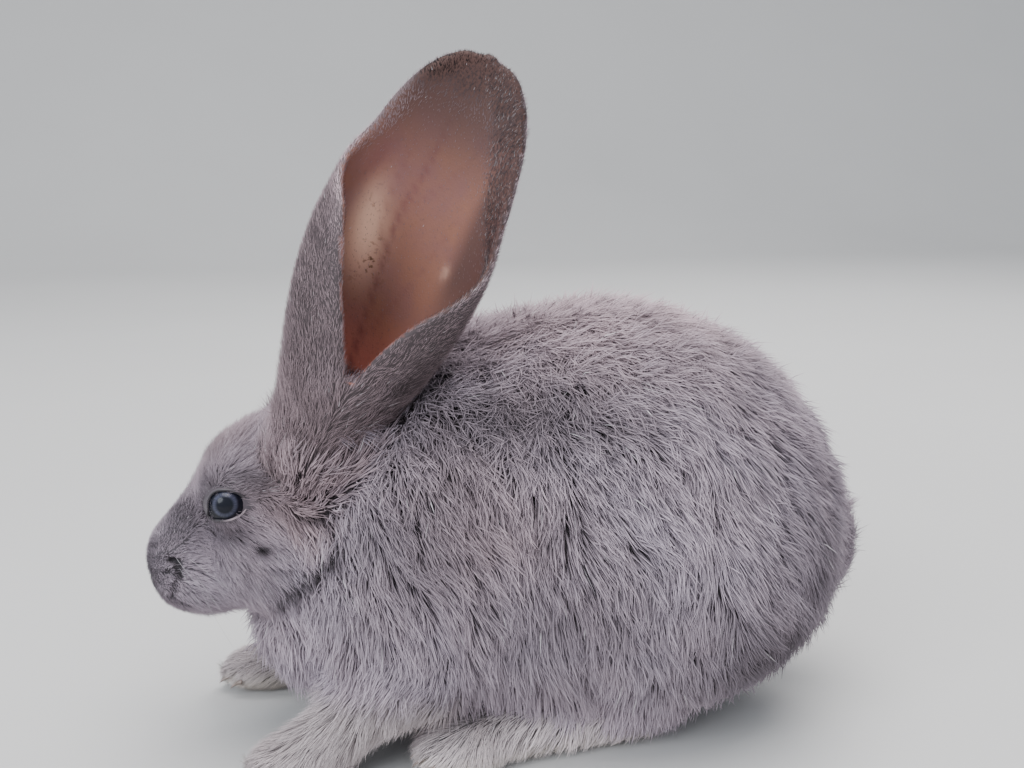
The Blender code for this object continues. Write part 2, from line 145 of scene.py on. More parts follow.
def ball_distance(points, ball):
    """Signed distance to an ellipsoid: k(k-1)/g, with k the point's scaled radius and g its slope."""
    offset = points - np.array(ball.centre, np.float32)
    cosine = np.float32(math.cos(math.radians(ball.pitch)))
    sine = np.float32(math.sin(math.radians(ball.pitch)))
    local = np.stack((cosine * offset[:, 0] + sine * offset[:, 2], offset[:, 1],
                      cosine * offset[:, 2] - sine * offset[:, 0]), axis=1)
    radii = np.array(ball.radii, np.float32)
    scaled = np.sqrt(((local / radii) ** 2).sum(1))
    slope = np.sqrt(((local / radii ** 2) ** 2).sum(1))
    return scaled * (scaled - 1) / np.maximum(slope, 1e-9)


def rod_distance(points, rod):
    """Signed distance to a tapered rod: the way to its axis less its radius there."""
    start = np.array(rod.start, np.float32)
    axis = np.array(rod.end, np.float32) - start
    offset = points - start
    along = np.clip(offset @ axis / (axis @ axis), 0, 1)
    first, last = rod.radii
    gap = offset - along[:, None] * axis
    return np.sqrt((gap ** 2).sum(1)) - (first + (last - first) * along)


def blended(near, far, reach):
    """Union of two volumes: the smaller distance, rounded where the two differ by less than reach."""
    overlap = np.maximum(reach - np.abs(near - far), 0) / reach
    return np.minimum(near, far) - overlap ** 2 * reach / 4


def coat_field(points):
    """Distance to the coat's tips, and depth, length and lie of the coat, near masses counting most."""
    placed = (points - SHIFT).astype(np.float32)
    mirrored = placed.copy()
    mirrored[:, 1] = np.abs(mirrored[:, 1])
    distances, values, totals = [], [], []
    for group in (TRUNK, HEAD):
        total = None
        for mass, coat in group.values():
            measure = ball_distance if isinstance(mass, Ball) else rod_distance
            distance = measure(mirrored if mass.paired else placed, mass)
            total = distance if total is None else blended(total, distance, mass.reach)
            distances.append(distance)
            values.append((coat.depth * MM, coat.length * MM) + coat.lie)
        totals.append(total)
    distances = np.stack(distances)
    weights = np.exp(-(distances - distances.min(0)) / MELT)
    weights /= weights.sum(0)
    mixed = weights.T @ np.array(values, np.float32)
    mixed[:, 3] *= np.sign(placed[:, 1])
    return blended(totals[0], totals[1], THROAT_REACH), mixed, totals[1] - totals[0]


# %% [markdown]
# ## The ears
#
# An ear is a thin sheet that starts as a tube at the head and opens upwards into a scoop. At each
# height it is an arc: radius, roll of the front edge and roll of the rear edge follow smooth curves
# through a few values. For the mesh the sheet is needed as a volume, so a point's distance to the
# arc is worked out. The same sums give the point's height and its angle round the arc, which later
# place veins, spots and hair.

# %% The ears' tables
EAR_HALF_WIDTH = 0.0277
EAR_WIDEST = 0.50
EAR_FULLNESS, EAR_BLUNTNESS = 2.6, 0.44
EAR_CURL = 0.006
EAR_OPEN_FROM, EAR_OPEN_TO = 0.60, 0.80
EAR_RADIUS = ((0, 0.0150), (0.09, 0.0166), (0.16, 0.0182), (0.242, 0.0214), (0.33, 0.0252),
              (0.42, 0.0282), (0.557, 0.0302), (0.7, 0.0290), (0.8, 0.0295), (1, 0.034))
EAR_FRONT_ROLL = ((0, 192), (0.09, 192), (0.15, 196), (0.22, 190), (0.30, 179), (0.38, 168),
                  (0.46, 157), (0.54, 146), (0.62, 131), (0.70, 113), (0.80, 88))
EAR_REAR_ROLL = ((0, 168), (0.09, 166), (0.15, 162), (0.25, 163), (0.33, 159), (0.40, 152),
                 (0.47, 140), (0.54, 117), (0.62, 88), (0.70, 74), (0.80, 66))
EAR_FLATNESS = ((0, 1), (0.1, 0.95), (0.3, 0.72), (0.5, 0.60), (1, 0.50))
EAR_FULLEST_ROLL = math.radians(350)
EAR_SKIN = 0.0012                       # half the thickness of the bare ear
EAR_COAT = 0.0011                       # depth of the short hair on its back
Ear = namedtuple("Ear", "root tip facing side")
EARS = {
    "left": Ear((-0.0745, -0.003, 0.1110), (-0.0160, -0.038, 0.2510), (-0.24, -0.97, 0.1), -1),
    "right": Ear((-0.0715, 0.003, 0.1100), (-0.0030, 0.034, 0.2480), (-0.24, 0.97, 0.1), 1),
}

# %% [markdown]
# ### From the tables to a distance
#
# A smooth curve through each table gives the ear's section at any height. A point is carried into the
# ear's own frame, and its distance is then taken to the arc of that section.

# %% An ear's section and distance


def smooth_curve(where, table):
    """Cubic curve through the table's (place, value) pairs, its slope the mean of its neighbours'."""
    places, values = np.array(table, float).T
    steps = np.diff(places)
    slopes = np.diff(values) / steps
    inner = (slopes[:-1] * steps[1:] + slopes[1:] * steps[:-1]) / (steps[1:] + steps[:-1])
    tangents = np.concatenate((slopes[:1], inner, slopes[-1:]))
    index = np.clip(np.searchsorted(places, where, side="right") - 1, 0, len(places) - 2)
    width = steps[index]
    part = (where - places[index]) / width
    rise = part ** 2 * (3 - 2 * part)
    return ((1 - rise) * values[index] + rise * values[index + 1]
            + part * (1 - part) ** 2 * width * tangents[index]
            - part ** 2 * (1 - part) * width * tangents[index + 1])


def ear_frame(ear):
    """Root, length and three directions of an ear: along it, out of its scoop, to its front edge."""
    root = np.array(ear.root) + SHIFT
    axis = np.array(ear.tip) - np.array(ear.root)
    length = np.linalg.norm(axis)
    along = axis / length
    facing = np.array(ear.facing) - np.dot(ear.facing, along) * along
    facing /= np.linalg.norm(facing)
    return root, length, along, facing, ear.side * np.cross(along, facing)


def ear_section(height):
    """Radius, front roll and rear roll (radians) of the ear's arc at heights from 0 to 1."""
    radius = smooth_curve(height, EAR_RADIUS)
    above = np.clip((height - EAR_WIDEST) / (1 - EAR_WIDEST), -1, 1)
    half_width = EAR_HALF_WIDTH * np.maximum(1 - np.abs(above) ** EAR_FULLNESS, 0) ** EAR_BLUNTNESS
    open_roll = np.arcsin(np.clip(half_width / radius, 0, 0.98))
    low = np.clip(height, 0, EAR_OPEN_TO)
    part = np.clip((height - EAR_OPEN_FROM) / (EAR_OPEN_TO - EAR_OPEN_FROM), 0, 1)
    part = part ** 2 * (3 - 2 * part)
    front = np.radians(smooth_curve(low, EAR_FRONT_ROLL)) * (1 - part) + open_roll * part
    rear = np.radians(smooth_curve(low, EAR_REAR_ROLL)) * (1 - part) + open_roll * part
    return radius, front - np.maximum(front + rear - EAR_FULLEST_ROLL, 0), rear


EAR_STEPS = np.linspace(0, 1, 400)
STEEPEST_EDGE = 2.0                      # limit on the edge's slope, or the blunt tip grows thorns
EAR_TABLE = ear_section(EAR_STEPS)
EAR_FLATS = smooth_curve(EAR_STEPS, EAR_FLATNESS)
EAR_ARC = EAR_TABLE[0] * (EAR_TABLE[1] + EAR_TABLE[2]) / 2


def ear_measure(points, ear):
    """Distance to the ear's middle sheet, height, arc angle, way in from the nearer edge, side, edge.

    In the plane across the ear the sheet is an arc of an ellipse. The distance joins the way off
    the arc, the way past its edges and the way past its ends. Side is +1 on the scoop's inside,
    and edge is +1 where the front edge is the nearer one.
    """
    root, length, along, facing, forward = ear_frame(ear)
    offset = points - root
    raw = offset @ along / length
    height = np.clip(raw, 0, 1)
    radius = np.interp(height, EAR_STEPS, EAR_TABLE[0])
    front = np.interp(height, EAR_STEPS, EAR_TABLE[1])
    rear = np.interp(height, EAR_STEPS, EAR_TABLE[2])
    flat = np.interp(height, EAR_STEPS, EAR_FLATS)
    slope = np.interp(height, EAR_STEPS, np.gradient(EAR_ARC, EAR_STEPS * length))
    slope = np.clip(slope, -STEEPEST_EDGE, STEEPEST_EDGE)
    across = offset @ forward
    depth = (offset @ facing + EAR_CURL * height ** 2 - flat * radius) / flat
    reach = np.hypot(across, depth) + 1e-9
    shrink = np.sqrt((across / reach) ** 2 + (depth / (flat * reach)) ** 2)
    middle, half = (front - rear) / 2, (front + rear) / 2
    angle = np.arctan2(across, -depth)
    turned = (angle - middle + np.pi) % (2 * np.pi) - np.pi
    over = np.clip(np.abs(turned) - half, 0, np.pi)
    past_edge = np.minimum(over * radius / np.sqrt(1 + slope ** 2), 1.4 * radius * np.sin(over / 2))
    past_end = np.maximum(np.maximum(raw - 1, -raw), 0) * length
    off_arc = (reach - radius) / shrink
    distance = np.sqrt(past_edge ** 2 + past_end ** 2 + off_arc ** 2) * np.where(over > 0.3, 0.6, 1)
    inward = (half - np.abs(turned)) * radius
    return distance, raw, middle + turned, inward, -np.sign(off_arc), np.sign(turned)


for name, ear in EARS.items():
    print(name, "ear", round(1000 * ear_frame(ear)[1]), "mm long")

# %% [markdown]
# ## The skin as one volume
#
# The skin lies inside the coat's outline by the coat's depth, so its distance is the outline's
# plus that depth. Onto it come the bulge behind each eyeball, the round root of each ear and the
# ears' own sheets. Joining distances rather than meshes leaves no seam anywhere.

# %% Distance to the skin
STUB_HEIGHT = 0.06
SOCKET_SHRINK = 0.0006                  # the eyeball stands out of the skin by this much
FLOOR_GAP = 0.0012                      # hair under the soles


def stub_rods():
    """The round root of each ear, standing up out of the skull."""
    for ear in EARS.values():
        root, length, along, facing, forward = ear_frame(ear)
        radius = EAR_RADIUS[1][1]
        foot = root - SHIFT + (radius - 0.001) * facing - 0.004 * along
        yield Rod(tuple(foot), tuple(foot + STUB_HEIGHT * length * along),
                  (radius * 0.70, radius - 0.0005), 0.012)


def mirrored_in_place(points):
    """Points in the body table's frame, all folded over to the +Y side."""
    folded = points - SHIFT
    folded[:, 1] = np.abs(folded[:, 1])
    return folded


def skin_distance(points, ear_skin=EAR_SKIN):
    """Signed distance to the skin: coat tips and depth, the bulge at the eyes, ear roots and ears."""
    tips, coat, _ = coat_field(points)
    skin = tips + coat[:, 0]
    folded = mirrored_in_place(points)
    bulge = np.linalg.norm(folded - EYE_CENTRE, axis=1) - EYE_RADIUS + SOCKET_SHRINK
    skin = blended(skin, bulge, 0.004)
    at_ears = np.flatnonzero(folded[:, 2] > 0.090)
    if len(at_ears):
        near, upper = points[at_ears], skin[at_ears]
        for rod in stub_rods():
            upper = blended(upper, rod_distance((near - SHIFT).astype(np.float32), rod), rod.reach)
        for ear in EARS.values():
            upper = blended(upper, ear_measure(near, ear)[0] - ear_skin, 0.0045)
        skin[at_ears] = upper
    return np.maximum(skin, FLOOR_GAP - points[:, 2])


# %% [markdown]
# ## Meshing the volume
#
# A volume is turned into a mesh by sampling its distance on a grid. The grid's lines stand close
# together at the head and the ears and wider at the trunk, which the coat hides. Only blocks of the
# grid near the surface are sampled. OpenVDB joins the samples into quads, and each point then slides
# along the distance's slope until it lies exactly on the skin, which brings back the fine edges.
# The thin ears are sampled a little thick, so that their rims come out whole, and slide back to
# their true thickness. Faces at the muzzle and the toes are split first, to leave room for detail.

# %% Sample, mesh and settle
FINE, COARSE = 0.00190, 0.0034
THICK_EAR = 0.0021
BLOCK = 8


def grid_lines(stretches):
    """Sample places along one axis: from each (start, step) to the next start, out to both ends."""
    parts = [np.arange(start, following[0] - step / 2, step)
             for (start, step), following in zip(stretches[:-1], stretches[1:])]
    return np.concatenate(parts)


def sampled_volume(lines):
    """Distances on the grid, worked out only in blocks whose middle lies near the surface."""
    counts = [len(line) // BLOCK for line in lines]
    lines = [line[:count * BLOCK].reshape(count, BLOCK) for line, count in zip(lines, counts)]
    middles = [line.mean(1) for line in lines]
    spans = [np.ptp(line, axis=1) / 2 for line in lines]
    x, y, z = (axis.ravel() for axis in np.meshgrid(*middles, indexing="ij"))
    half = np.sqrt(sum(axis ** 2 for axis in np.meshgrid(*spans, indexing="ij"))).ravel()
    rough = skin_distance(np.stack((x, y, z), 1), THICK_EAR)
    volume = np.repeat(rough.astype(np.float32)[:, None], BLOCK ** 3, axis=1)
    close = np.flatnonzero(np.abs(rough) < half * 1.25 + 0.003)
    i, j, k = np.unravel_index(close, counts)
    shape = (len(close), BLOCK, BLOCK, BLOCK)
    points = np.stack((np.broadcast_to(lines[0][i][:, :, None, None], shape),
                       np.broadcast_to(lines[1][j][:, None, :, None], shape),
                       np.broadcast_to(lines[2][k][:, None, None, :], shape)), -1).reshape(-1, 3)
    found = np.concatenate([skin_distance(part, THICK_EAR) for part in np.array_split(points, 12)])
    volume[close] = found.reshape(len(close), -1)
    volume = volume.reshape(*counts, BLOCK, BLOCK, BLOCK).transpose(0, 3, 1, 4, 2, 5)
    return volume.reshape([count * BLOCK for count in counts]), len(points)

# %% [markdown]
# ### Finer where it counts
#
# The muzzle and the toes have more detail than the grid shows. Their quads are split, and every point
# then slides along the slope of the distance until it lies on the skin. A finer grid all over would
# cost many times the points.

# %% Split, settle and keep one piece


def settled(points, rounds=3, step=0.0003):
    """Slide points onto the skin along the slope of its distance, in a few Newton steps."""
    for _ in range(rounds):
        here = skin_distance(points)
        slope = np.stack([skin_distance(points + step * axis) - skin_distance(points - step * axis)
                          for axis in np.eye(3)], 1) / (2 * step)
        steepness = np.maximum((slope ** 2).sum(1), 0.2)
        points = points - np.clip(here / steepness, -0.001, 0.001)[:, None] * slope
    return points


def stray_pieces(edit):
    """The points of every loose pocket: all that can't be reached from the first point."""
    edit.verts.ensure_lookup_table()
    reached, front = set(), [edit.verts[0]]
    while front:
        vertex = front.pop()
        if vertex not in reached:
            reached.add(vertex)
            front += [edge.other_vert(vertex) for edge in vertex.link_edges]
    return [vertex for vertex in edit.verts if vertex not in reached]


def refined(points, quads, rounds):
    """Split the quads inside each round's places; the split ones keep their neighbours closed."""
    edit = bmesh.new()
    mesh = bpy.data.meshes.new("refine")
    mesh.from_pydata(points.tolist(), [], quads.tolist())
    edit.from_mesh(mesh)
    for wanted in rounds:
        edit.verts.ensure_lookup_table()
        places = np.array([vertex.co for vertex in edit.verts])
        inside = wanted(places)
        edges = [edge for edge in edit.edges if inside[edge.verts[0].index] and inside[edge.verts[1].index]]
        bmesh.ops.subdivide_edges(edit, edges=edges, cuts=1, use_grid_fill=True)
        edit.verts.index_update()
    bmesh.ops.delete(edit, geom=stray_pieces(edit), context="VERTS")
    bmesh.ops.triangulate(edit, faces=[face for face in edit.faces if len(face.verts) > 4])
    edit.to_mesh(mesh)
    edit.free()
    return mesh


def fine_places(places):
    """True at the muzzle and at the toes."""
    folded = mirrored_in_place(places)
    at_muzzle = (folded[:, 0] < -0.1225) & (folded[:, 2] < 0.086)
    at_toes = (folded[:, 2] < 0.022) & ((folded[:, 0] < -0.088) | (np.abs(folded[:, 0] + 0.036) < 0.012))
    return at_muzzle | at_toes


def nose_places(places):
    """True close to the nostrils and the mouth."""
    folded = mirrored_in_place(places)
    return (folded[:, 0] < -0.1255) & (folded[:, 2] < 0.084) & (folded[:, 1] < 0.0125)


LINES = (grid_lines(((-0.150, FINE), (0.008, COARSE), (0.118, FINE), (0.152, FINE))),
         grid_lines(((-0.082, COARSE), (-0.060, FINE), (0.060, COARSE), (0.082, COARSE))),
         grid_lines(((-0.006, 0.0016), (0.056, FINE), (0.262, FINE))))
volume, sample_count = sampled_volume(LINES)
vdb = openvdb.FloatGrid(background=1.0)
vdb.copyFromArray(volume / FINE)
cells, quads = vdb.convertToQuads(isovalue=0.0)
vertices = np.stack([np.interp(cells[:, axis], np.arange(len(line)), line)
                     for axis, line in enumerate(LINES)], 1)
skin_mesh = refined(vertices, quads, (fine_places, nose_places, nose_places))
skin_mesh.name = "skin"
skin_points = np.empty(len(skin_mesh.vertices) * 3, np.float32)
skin_mesh.vertices.foreach_get("co", skin_points)
skin_points = settled(skin_points.reshape(-1, 3).astype(float))
skin_mesh.vertices.foreach_set("co", skin_points.astype(np.float32).ravel())
skin_mesh.update()
print(volume.shape, sample_count, "samples;", len(skin_mesh.vertices), "points,",
      len(skin_mesh.polygons), "faces")

# %% [markdown]
# ## What each point of the skin carries
#
# Colour, hair length, hair lie and the places of veins and spots all vary smoothly over the animal.
# They are worked out once, at the skin's points, and stored as attributes. The skin's material and
# the coat's material read the same values, so the markings of the skin and of the hair agree.

# %% Measures at the skin's points


def smooth_step(low, high, value):
    """0 below low, 1 above high, and an S-curve between."""
    part = np.clip((value - low) / (high - low), 0, 1)
    return part * part * (3 - 2 * part)


def mesh_array(items, name, width, kind=np.float32):
    """One property of all a mesh's items as an array."""
    values = np.empty(len(items) * width, kind)
    items.foreach_get(name, values)
    return values.reshape(-1, width) if width > 1 else values


def unit(vectors):
    """Vectors of length one."""
    return vectors / np.maximum(np.linalg.norm(vectors, axis=1, keepdims=True), 1e-9)


skin_normals = mesh_array(skin_mesh.vertices, "normal", 3).astype(float)
_, coat_values, head_side = coat_field(skin_points)
depth, length, lie = coat_values[:, 0], coat_values[:, 1], coat_values[:, 2:5].astype(float)
folded = mirrored_in_place(skin_points)

# Where the ears' sheets make the skin, their own measures take over.
ear_part = np.zeros(len(skin_points))
ear_height, ear_inward, ear_angle, ear_side = (np.zeros(len(skin_points)) for _ in range(4))
ear_end = np.zeros(len(skin_points))
ear_ring = np.zeros(len(skin_points))                # the skin just round each ear's root
ear_lie = np.zeros((len(skin_points), 3))
for name, ear in EARS.items():
    sheet, height, angle, inward, side, end = ear_measure(skin_points, ear)
    _, _, along, facing, forward = ear_frame(ear)
    part = smooth_step(0.0028, 0.0016, sheet) * smooth_step(0.02, 0.10, height)
    ring = smooth_step(0.0090, 0.0025, sheet) * smooth_step(0.20, 0.08, height) * (1 - part)
    ear_lie[ring > ear_ring] = along
    ear_ring = np.maximum(ear_ring, ring)
    mine = part > ear_part
    for held, value in ((ear_part, part), (ear_height, height), (ear_inward, inward),
                        (ear_angle, angle), (ear_side, side), (ear_end, end)):
        held[mine] = value[mine]
    outwards = forward * np.where(end > 0, 1, -1)[:, None]
    ear_lie[mine] = (along + 0.30 * outwards * smooth_step(0.0, 0.012, 0.012 - inward)[:, None])[mine]
tip_way = 0.150 * (1 - ear_height)                   # metres left to the tip
inside = ear_part * (ear_side > 0)
print("ear points:", int((ear_part > 0.5).sum()), "of", len(skin_points))

# %% [markdown]
# ## Hollows pressed into the skin
#
# The nostrils, the split lip, the mouth and the gaps between the toes are grooves along short lines.
# Each one is pressed in along the skin's own normal, deepest on its line and fading to the sides
# as a bell curve. That is safer than cutting, since no face can fold over or tear.

# %% Grooves
Groove = namedtuple("Groove", "start end depth width paired", defaults=(True,))
GROOVES = [
    Groove((-0.1293, 0.0121, 0.0766), (-0.1266, 0.0129, 0.0755), 0.0020, 0.0009),      # nostril, upper part
    Groove((-0.1266, 0.0129, 0.0755), (-0.1264, 0.0142, 0.0702), 0.0020, 0.0010),      # nostril, lower part
    Groove((-0.1313, 0.0126, 0.0716), (-0.1295, 0.0132, 0.0724), 0.0012, 0.0006),      # fold under the nose
    Groove((-0.1400, 0.0000, 0.0730), (-0.1345, 0.0000, 0.0610), 0.0011, 0.0007),      # split lip
    Groove((-0.1276, 0.0141, 0.0680), (-0.1298, 0.0120, 0.0620), 0.0013, 0.0007),      # lip
    Groove((-0.1298, 0.0120, 0.0620), (-0.1230, 0.0125, 0.0581), 0.0010, 0.0006),      # mouth
]
TOE_GAPS = (-0.0062, 0.0, 0.0062)
for side, paw in ((-1, TRUNK["left forepaw"][0]), (1, TRUNK["right forepaw"][0])):
    tip = paw.centre[0] - paw.radii[0]
    for gap in TOE_GAPS:
        across = side * (abs(paw.centre[1]) + gap)
        GROOVES.append(Groove((tip, across, 0.006), (tip + 0.012, across, 0.018), 0.0014, 0.0009, False))
toes = TRUNK["toes"][0]
for gap in TOE_GAPS:
    tip = toes.centre[0] - toes.radii[0]
    GROOVES.append(Groove((tip, toes.centre[1] + gap, 0.006), (tip + 0.013, toes.centre[1] + gap, 0.018),
                          0.0014, 0.0010))


def groove_depth(places, groove):
    """How far a groove presses in at the places: depth times a bell curve of the way to its line."""
    start, axis = np.array(groove.start), np.array(groove.end) - np.array(groove.start)
    offset = (places - start) * (1, 0.5 if groove.paired else 1, 1)
    axis = axis * (1, 0.5 if groove.paired else 1, 1)
    along = np.clip(offset @ axis / (axis @ axis), 0, 1)
    away = np.linalg.norm(offset - along[:, None] * axis, axis=1)
    return groove.depth * np.exp(-(away / (1.3 * groove.width)) ** 2)


pressed = np.zeros(len(skin_points))
for groove in GROOVES:
    places = folded if groove.paired else skin_points - SHIFT
    pressed = np.maximum(pressed, groove_depth(places, groove))
skin_points -= skin_normals * pressed[:, None]
skin_mesh.vertices.foreach_set("co", skin_points.astype(np.float32).ravel())
skin_mesh.update()
print(len(GROOVES), "grooves, deepest", round(1000 * pressed.max(), 2), "mm")

# %% [markdown]
# ## Markings and painted shade
#
# The coat is one blue-grey with soft changes: mauve on the back and the cheeks' upper part, darker
# round the eyes, cream on the soles, and painted shade behind the ears, in creases, folds and grooves
# and under the rump. Inside the ears the bare skin is a warm orange brown with veins and specks, a paler
# patch of painted light shining through, and a red depth that is partly painted glow. Each marking is a
# soft blob or a line in the body table's frame, so that none depends on how the mesh happens to lie.

# %% Marking and painted shade fields
Blob = namedtuple("Blob", "centre radii amount")
RUFFLED_AND_SHADED_BLOBS = (
    Blob((-0.1120, 0.019, 0.1050), (0.0070, 0.010, 0.0050), 0.85),       # over the eye
    Blob((-0.0420, 0.045, 0.1300), (0.0300, 0.030, 0.0180), 0.50),       # behind the ear: messy hair and painted shadow of the ear
    Blob((-0.0050, 0.055, 0.1300), (0.0450, 0.030, 0.0140), 0.74),       # the messy hair of the upper flank
    Blob((-0.0350, 0.050, 0.1050), (0.0120, 0.030, 0.0130), 0.40),       # its lower end
)
DARK_MARK_AND_SHADE_BLOBS = RUFFLED_AND_SHADED_BLOBS + (
    Blob((-0.0975, 0.022, 0.1080), (0.0135, 0.012, 0.0062), 0.72),       # behind the eye, up to the ear
    Blob((-0.1040, 0.027, 0.0865), (0.0110, 0.012, 0.0045), 0.75),       # under the eye
    Blob((-0.0952, 0.030, 0.0830), (0.0036, 0.016, 0.0027), 1.45),       # parted hair on the cheek
    Blob((-0.0905, 0.030, 0.0840), (0.0030, 0.012, 0.0010), 0.60),
    Blob((-0.0765, 0.038, 0.0950), (0.0070, 0.026, 0.0026), 1.20),       # painted shade in the fold under the ear
    Blob((-0.0690, 0.030, 0.0990), (0.0080, 0.014, 0.0050), 0.45),
    Blob((-0.1300, 0.008, 0.0770), (0.0060, 0.006, 0.0090), 0.30),       # round the nostril
    Blob((0.0150, 0.070, 0.0420), (0.0070, 0.030, 0.0250), 0.40),        # painted shade in the groove before the thigh
    Blob((0.0050, 0.060, 0.0250), (0.0500, 0.040, 0.0080), 0.25),        # shade over the foot
    Blob((0.1050, 0.060, 0.0680), (0.0360, 0.060, 0.0500), 0.60),        # rump
    Blob((0.0850, 0.060, 0.0400), (0.0400, 0.060, 0.0240), 0.80),        # painted shade under the rump
    Blob((-0.0440, 0.050, 0.0900), (0.0320, 0.050, 0.0260), 0.46),       # shoulder
    Blob((0.0150, 0.062, 0.0600), (0.0450, 0.050, 0.0260), 0.42),        # lower flank
    Blob((-0.0880, 0.027, 0.0745), (0.0090, 0.012, 0.0022), 0.60),       # painted shade under the curved locks of the cheek
    Blob((-0.1010, 0.024, 0.0730), (0.0022, 0.012, 0.0070), 0.45),
    Blob((-0.0930, 0.027, 0.0680), (0.0022, 0.012, 0.0060), 0.50),
    Blob((-0.1230, 0.010, 0.0900), (0.0110, 0.014, 0.0090), 0.66),       # bridge of the nose
    Blob((-0.1020, 0.010, 0.1150), (0.0200, 0.020, 0.0100), 0.42),       # forehead
    Blob((-0.1130, 0.020, 0.0640), (0.0100, 0.012, 0.0060), 0.34),       # jaw
    Blob((0.0850, 0.035, 0.1350), (0.0300, 0.040, 0.0300), 0.22),        # back above the rump
)
PAD_SPOT = np.array((0.0009, 0.009, 0.0009))        # radii of one dot
Streak = namedtuple("Streak", "start end thickness amount")
CREASE_SHADE_STREAKS = (
    Streak((-0.0925, 0.030, 0.0572), (-0.0715, 0.051, 0.0840), 0.0024, 1.30),      # painted shade in the crease behind the jaw
    Streak((-0.0990, 0.030, 0.0690), (-0.0850, 0.040, 0.0660), 0.0018, 0.55),      # painted shade under the lock above it
)
MAUVE_BLOBS = (
    Blob((0.0400, 0.000, 0.1650), (0.0900, 0.060, 0.0300), 0.70),        # the back
    Blob((-0.0850, 0.026, 0.1010), (0.0160, 0.014, 0.0120), 0.90),       # between the eye and the ear
    Blob((-0.1100, 0.000, 0.1150), (0.0250, 0.014, 0.0150), 0.60),       # forehead
    Blob((-0.0250, 0.055, 0.1050), (0.0300, 0.030, 0.0300), 0.45),       # behind the shoulder
)
LIGHT_BLOBS = (
    Blob((-0.1150, 0.014, 0.0680), (0.0180, 0.012, 0.0120), 0.50),       # lower muzzle
    Blob((0.0450, 0.065, 0.0900), (0.0500, 0.030, 0.0450), 0.30),        # flank
    Blob((0.0300, 0.000, 0.1700), (0.0900, 0.050, 0.0160), 0.16),        # top of the back
    Blob((-0.0980, 0.020, 0.0760), (0.0380, 0.040, 0.0200), 0.30),       # head
    Blob((-0.0780, 0.025, 0.0480), (0.0260, 0.030, 0.0240), 0.32),       # breast
    Blob((-0.0940, 0.040, 0.0080), (0.0400, 0.020, 0.0140), 0.04),       # forepaw
    Blob((-0.0100, 0.044, 0.0080), (0.0600, 0.022, 0.0140), 0.75),       # hind foot
)

# %% [markdown]
# ### Reading the tables
#
# A blob is strongest at its centre and fades outwards as a bell curve does. Where several overlap the
# strongest counts, so that no place gets darker than any of them asks. Painting the mesh by hand
# would tie the markings to its points.

# %% Soft blobs, streaks and the coat's shade


def blob_field(places, blobs):
    """Greatest of the blobs' amounts, each fading as a bell curve from its centre."""
    total = np.zeros(len(places))
    for blob in blobs:
        away = (((places - np.array(blob.centre)) / np.array(blob.radii)) ** 2).sum(1)
        total = np.maximum(total, blob.amount * np.exp(-away))
    return total


def streak_field(places, streaks):
    """Greatest of the streaks' amounts: a bell curve of the way to a line between two points."""
    total = np.zeros(len(places))
    for streak in streaks:
        start, run = np.array(streak.start), np.array(streak.end) - np.array(streak.start)
        share = np.clip((places - start) @ run / (run @ run), 0, 1)
        away = (places - start - share[:, None] * run) * (1, 0.4, 1) / streak.thickness
        total = np.maximum(total, streak.amount * np.exp(-(away ** 2).sum(1)))
    return total


def pad_place(row, column, across):
    """A place on the whisker pad, whose rows run back and down from the nose."""
    return np.array((-0.1275 + 0.0045 * column + 0.0010 * row, across,
                     0.0772 - 0.0036 * row - 0.0006 * column))


def pad_spots(places):
    """Rows of small dark dots on the whisker pad, where the whiskers grow."""
    total = np.zeros(len(places))
    for row in range(3):
        for column in range(4):
            away = (((places - pad_place(row, column, 0.0130)) / PAD_SPOT) ** 2).sum(1)
            total = np.maximum(total, np.exp(-away))
    return total


def painted_groove_shade(places):
    """Painted shade of the face's grooves at a place, from 0 to 1."""
    dark = np.zeros(len(places))
    for groove in GROOVES:
        if groove.paired and groove.start[2] > 0.03:
            dark = np.maximum(dark, groove_depth(places, groove) / groove.depth)
    return dark


def coat_shade(places):
    """Coat darkness from markings and painted shade, at places folded to one side: above 0 darker, below 0
    lighter.
    """
    dark = np.maximum(blob_field(places, DARK_MARK_AND_SHADE_BLOBS), streak_field(places, CREASE_SHADE_STREAKS))
    return (dark + 0.45 * pad_spots(places) + 1.1 * painted_groove_shade(places)
            - blob_field(places, LIGHT_BLOBS))


shade = coat_shade(folded)
mauve = blob_field(folded, MAUVE_BLOBS)
foot = smooth_step(0.0062, 0.0040, depth) * smooth_step(0.045, 0.030, folded[:, 2])
cream = np.clip(foot * (0.42 + 0.55 * smooth_step(0.0140, 0.0065, folded[:, 2])), 0, 1)

# %% [markdown]
# ### Inside the ears
#
# The bare skin of the scoop shows its veins, a paler patch of painted light where light shines through,
# small specks and a red depth, partly redder skin and partly painted glow of light through it. They are
# placed by height and by the share of the way across, so they follow the curl.

# %% Veins and patches
# A vein runs from the root's front to the rear of the tip, with branches.
across_share = np.clip(ear_angle * np.interp(ear_height, EAR_STEPS, EAR_TABLE[0])
                       / EAR_HALF_WIDTH, -2, 2)


def vein(path, width):
    """Bell curve of the way to a line drawn on the unrolled ear, in shares of its half width."""
    line = smooth_curve(np.clip(ear_height, path[0][0], path[-1][0]), path)
    inside_ends = smooth_step(path[0][0] - 0.03, path[0][0] + 0.05, ear_height)
    inside_ends = inside_ends * smooth_step(path[-1][0] + 0.03, path[-1][0] - 0.05, ear_height)
    return inside_ends * np.exp(-((across_share - line) / width) ** 2)


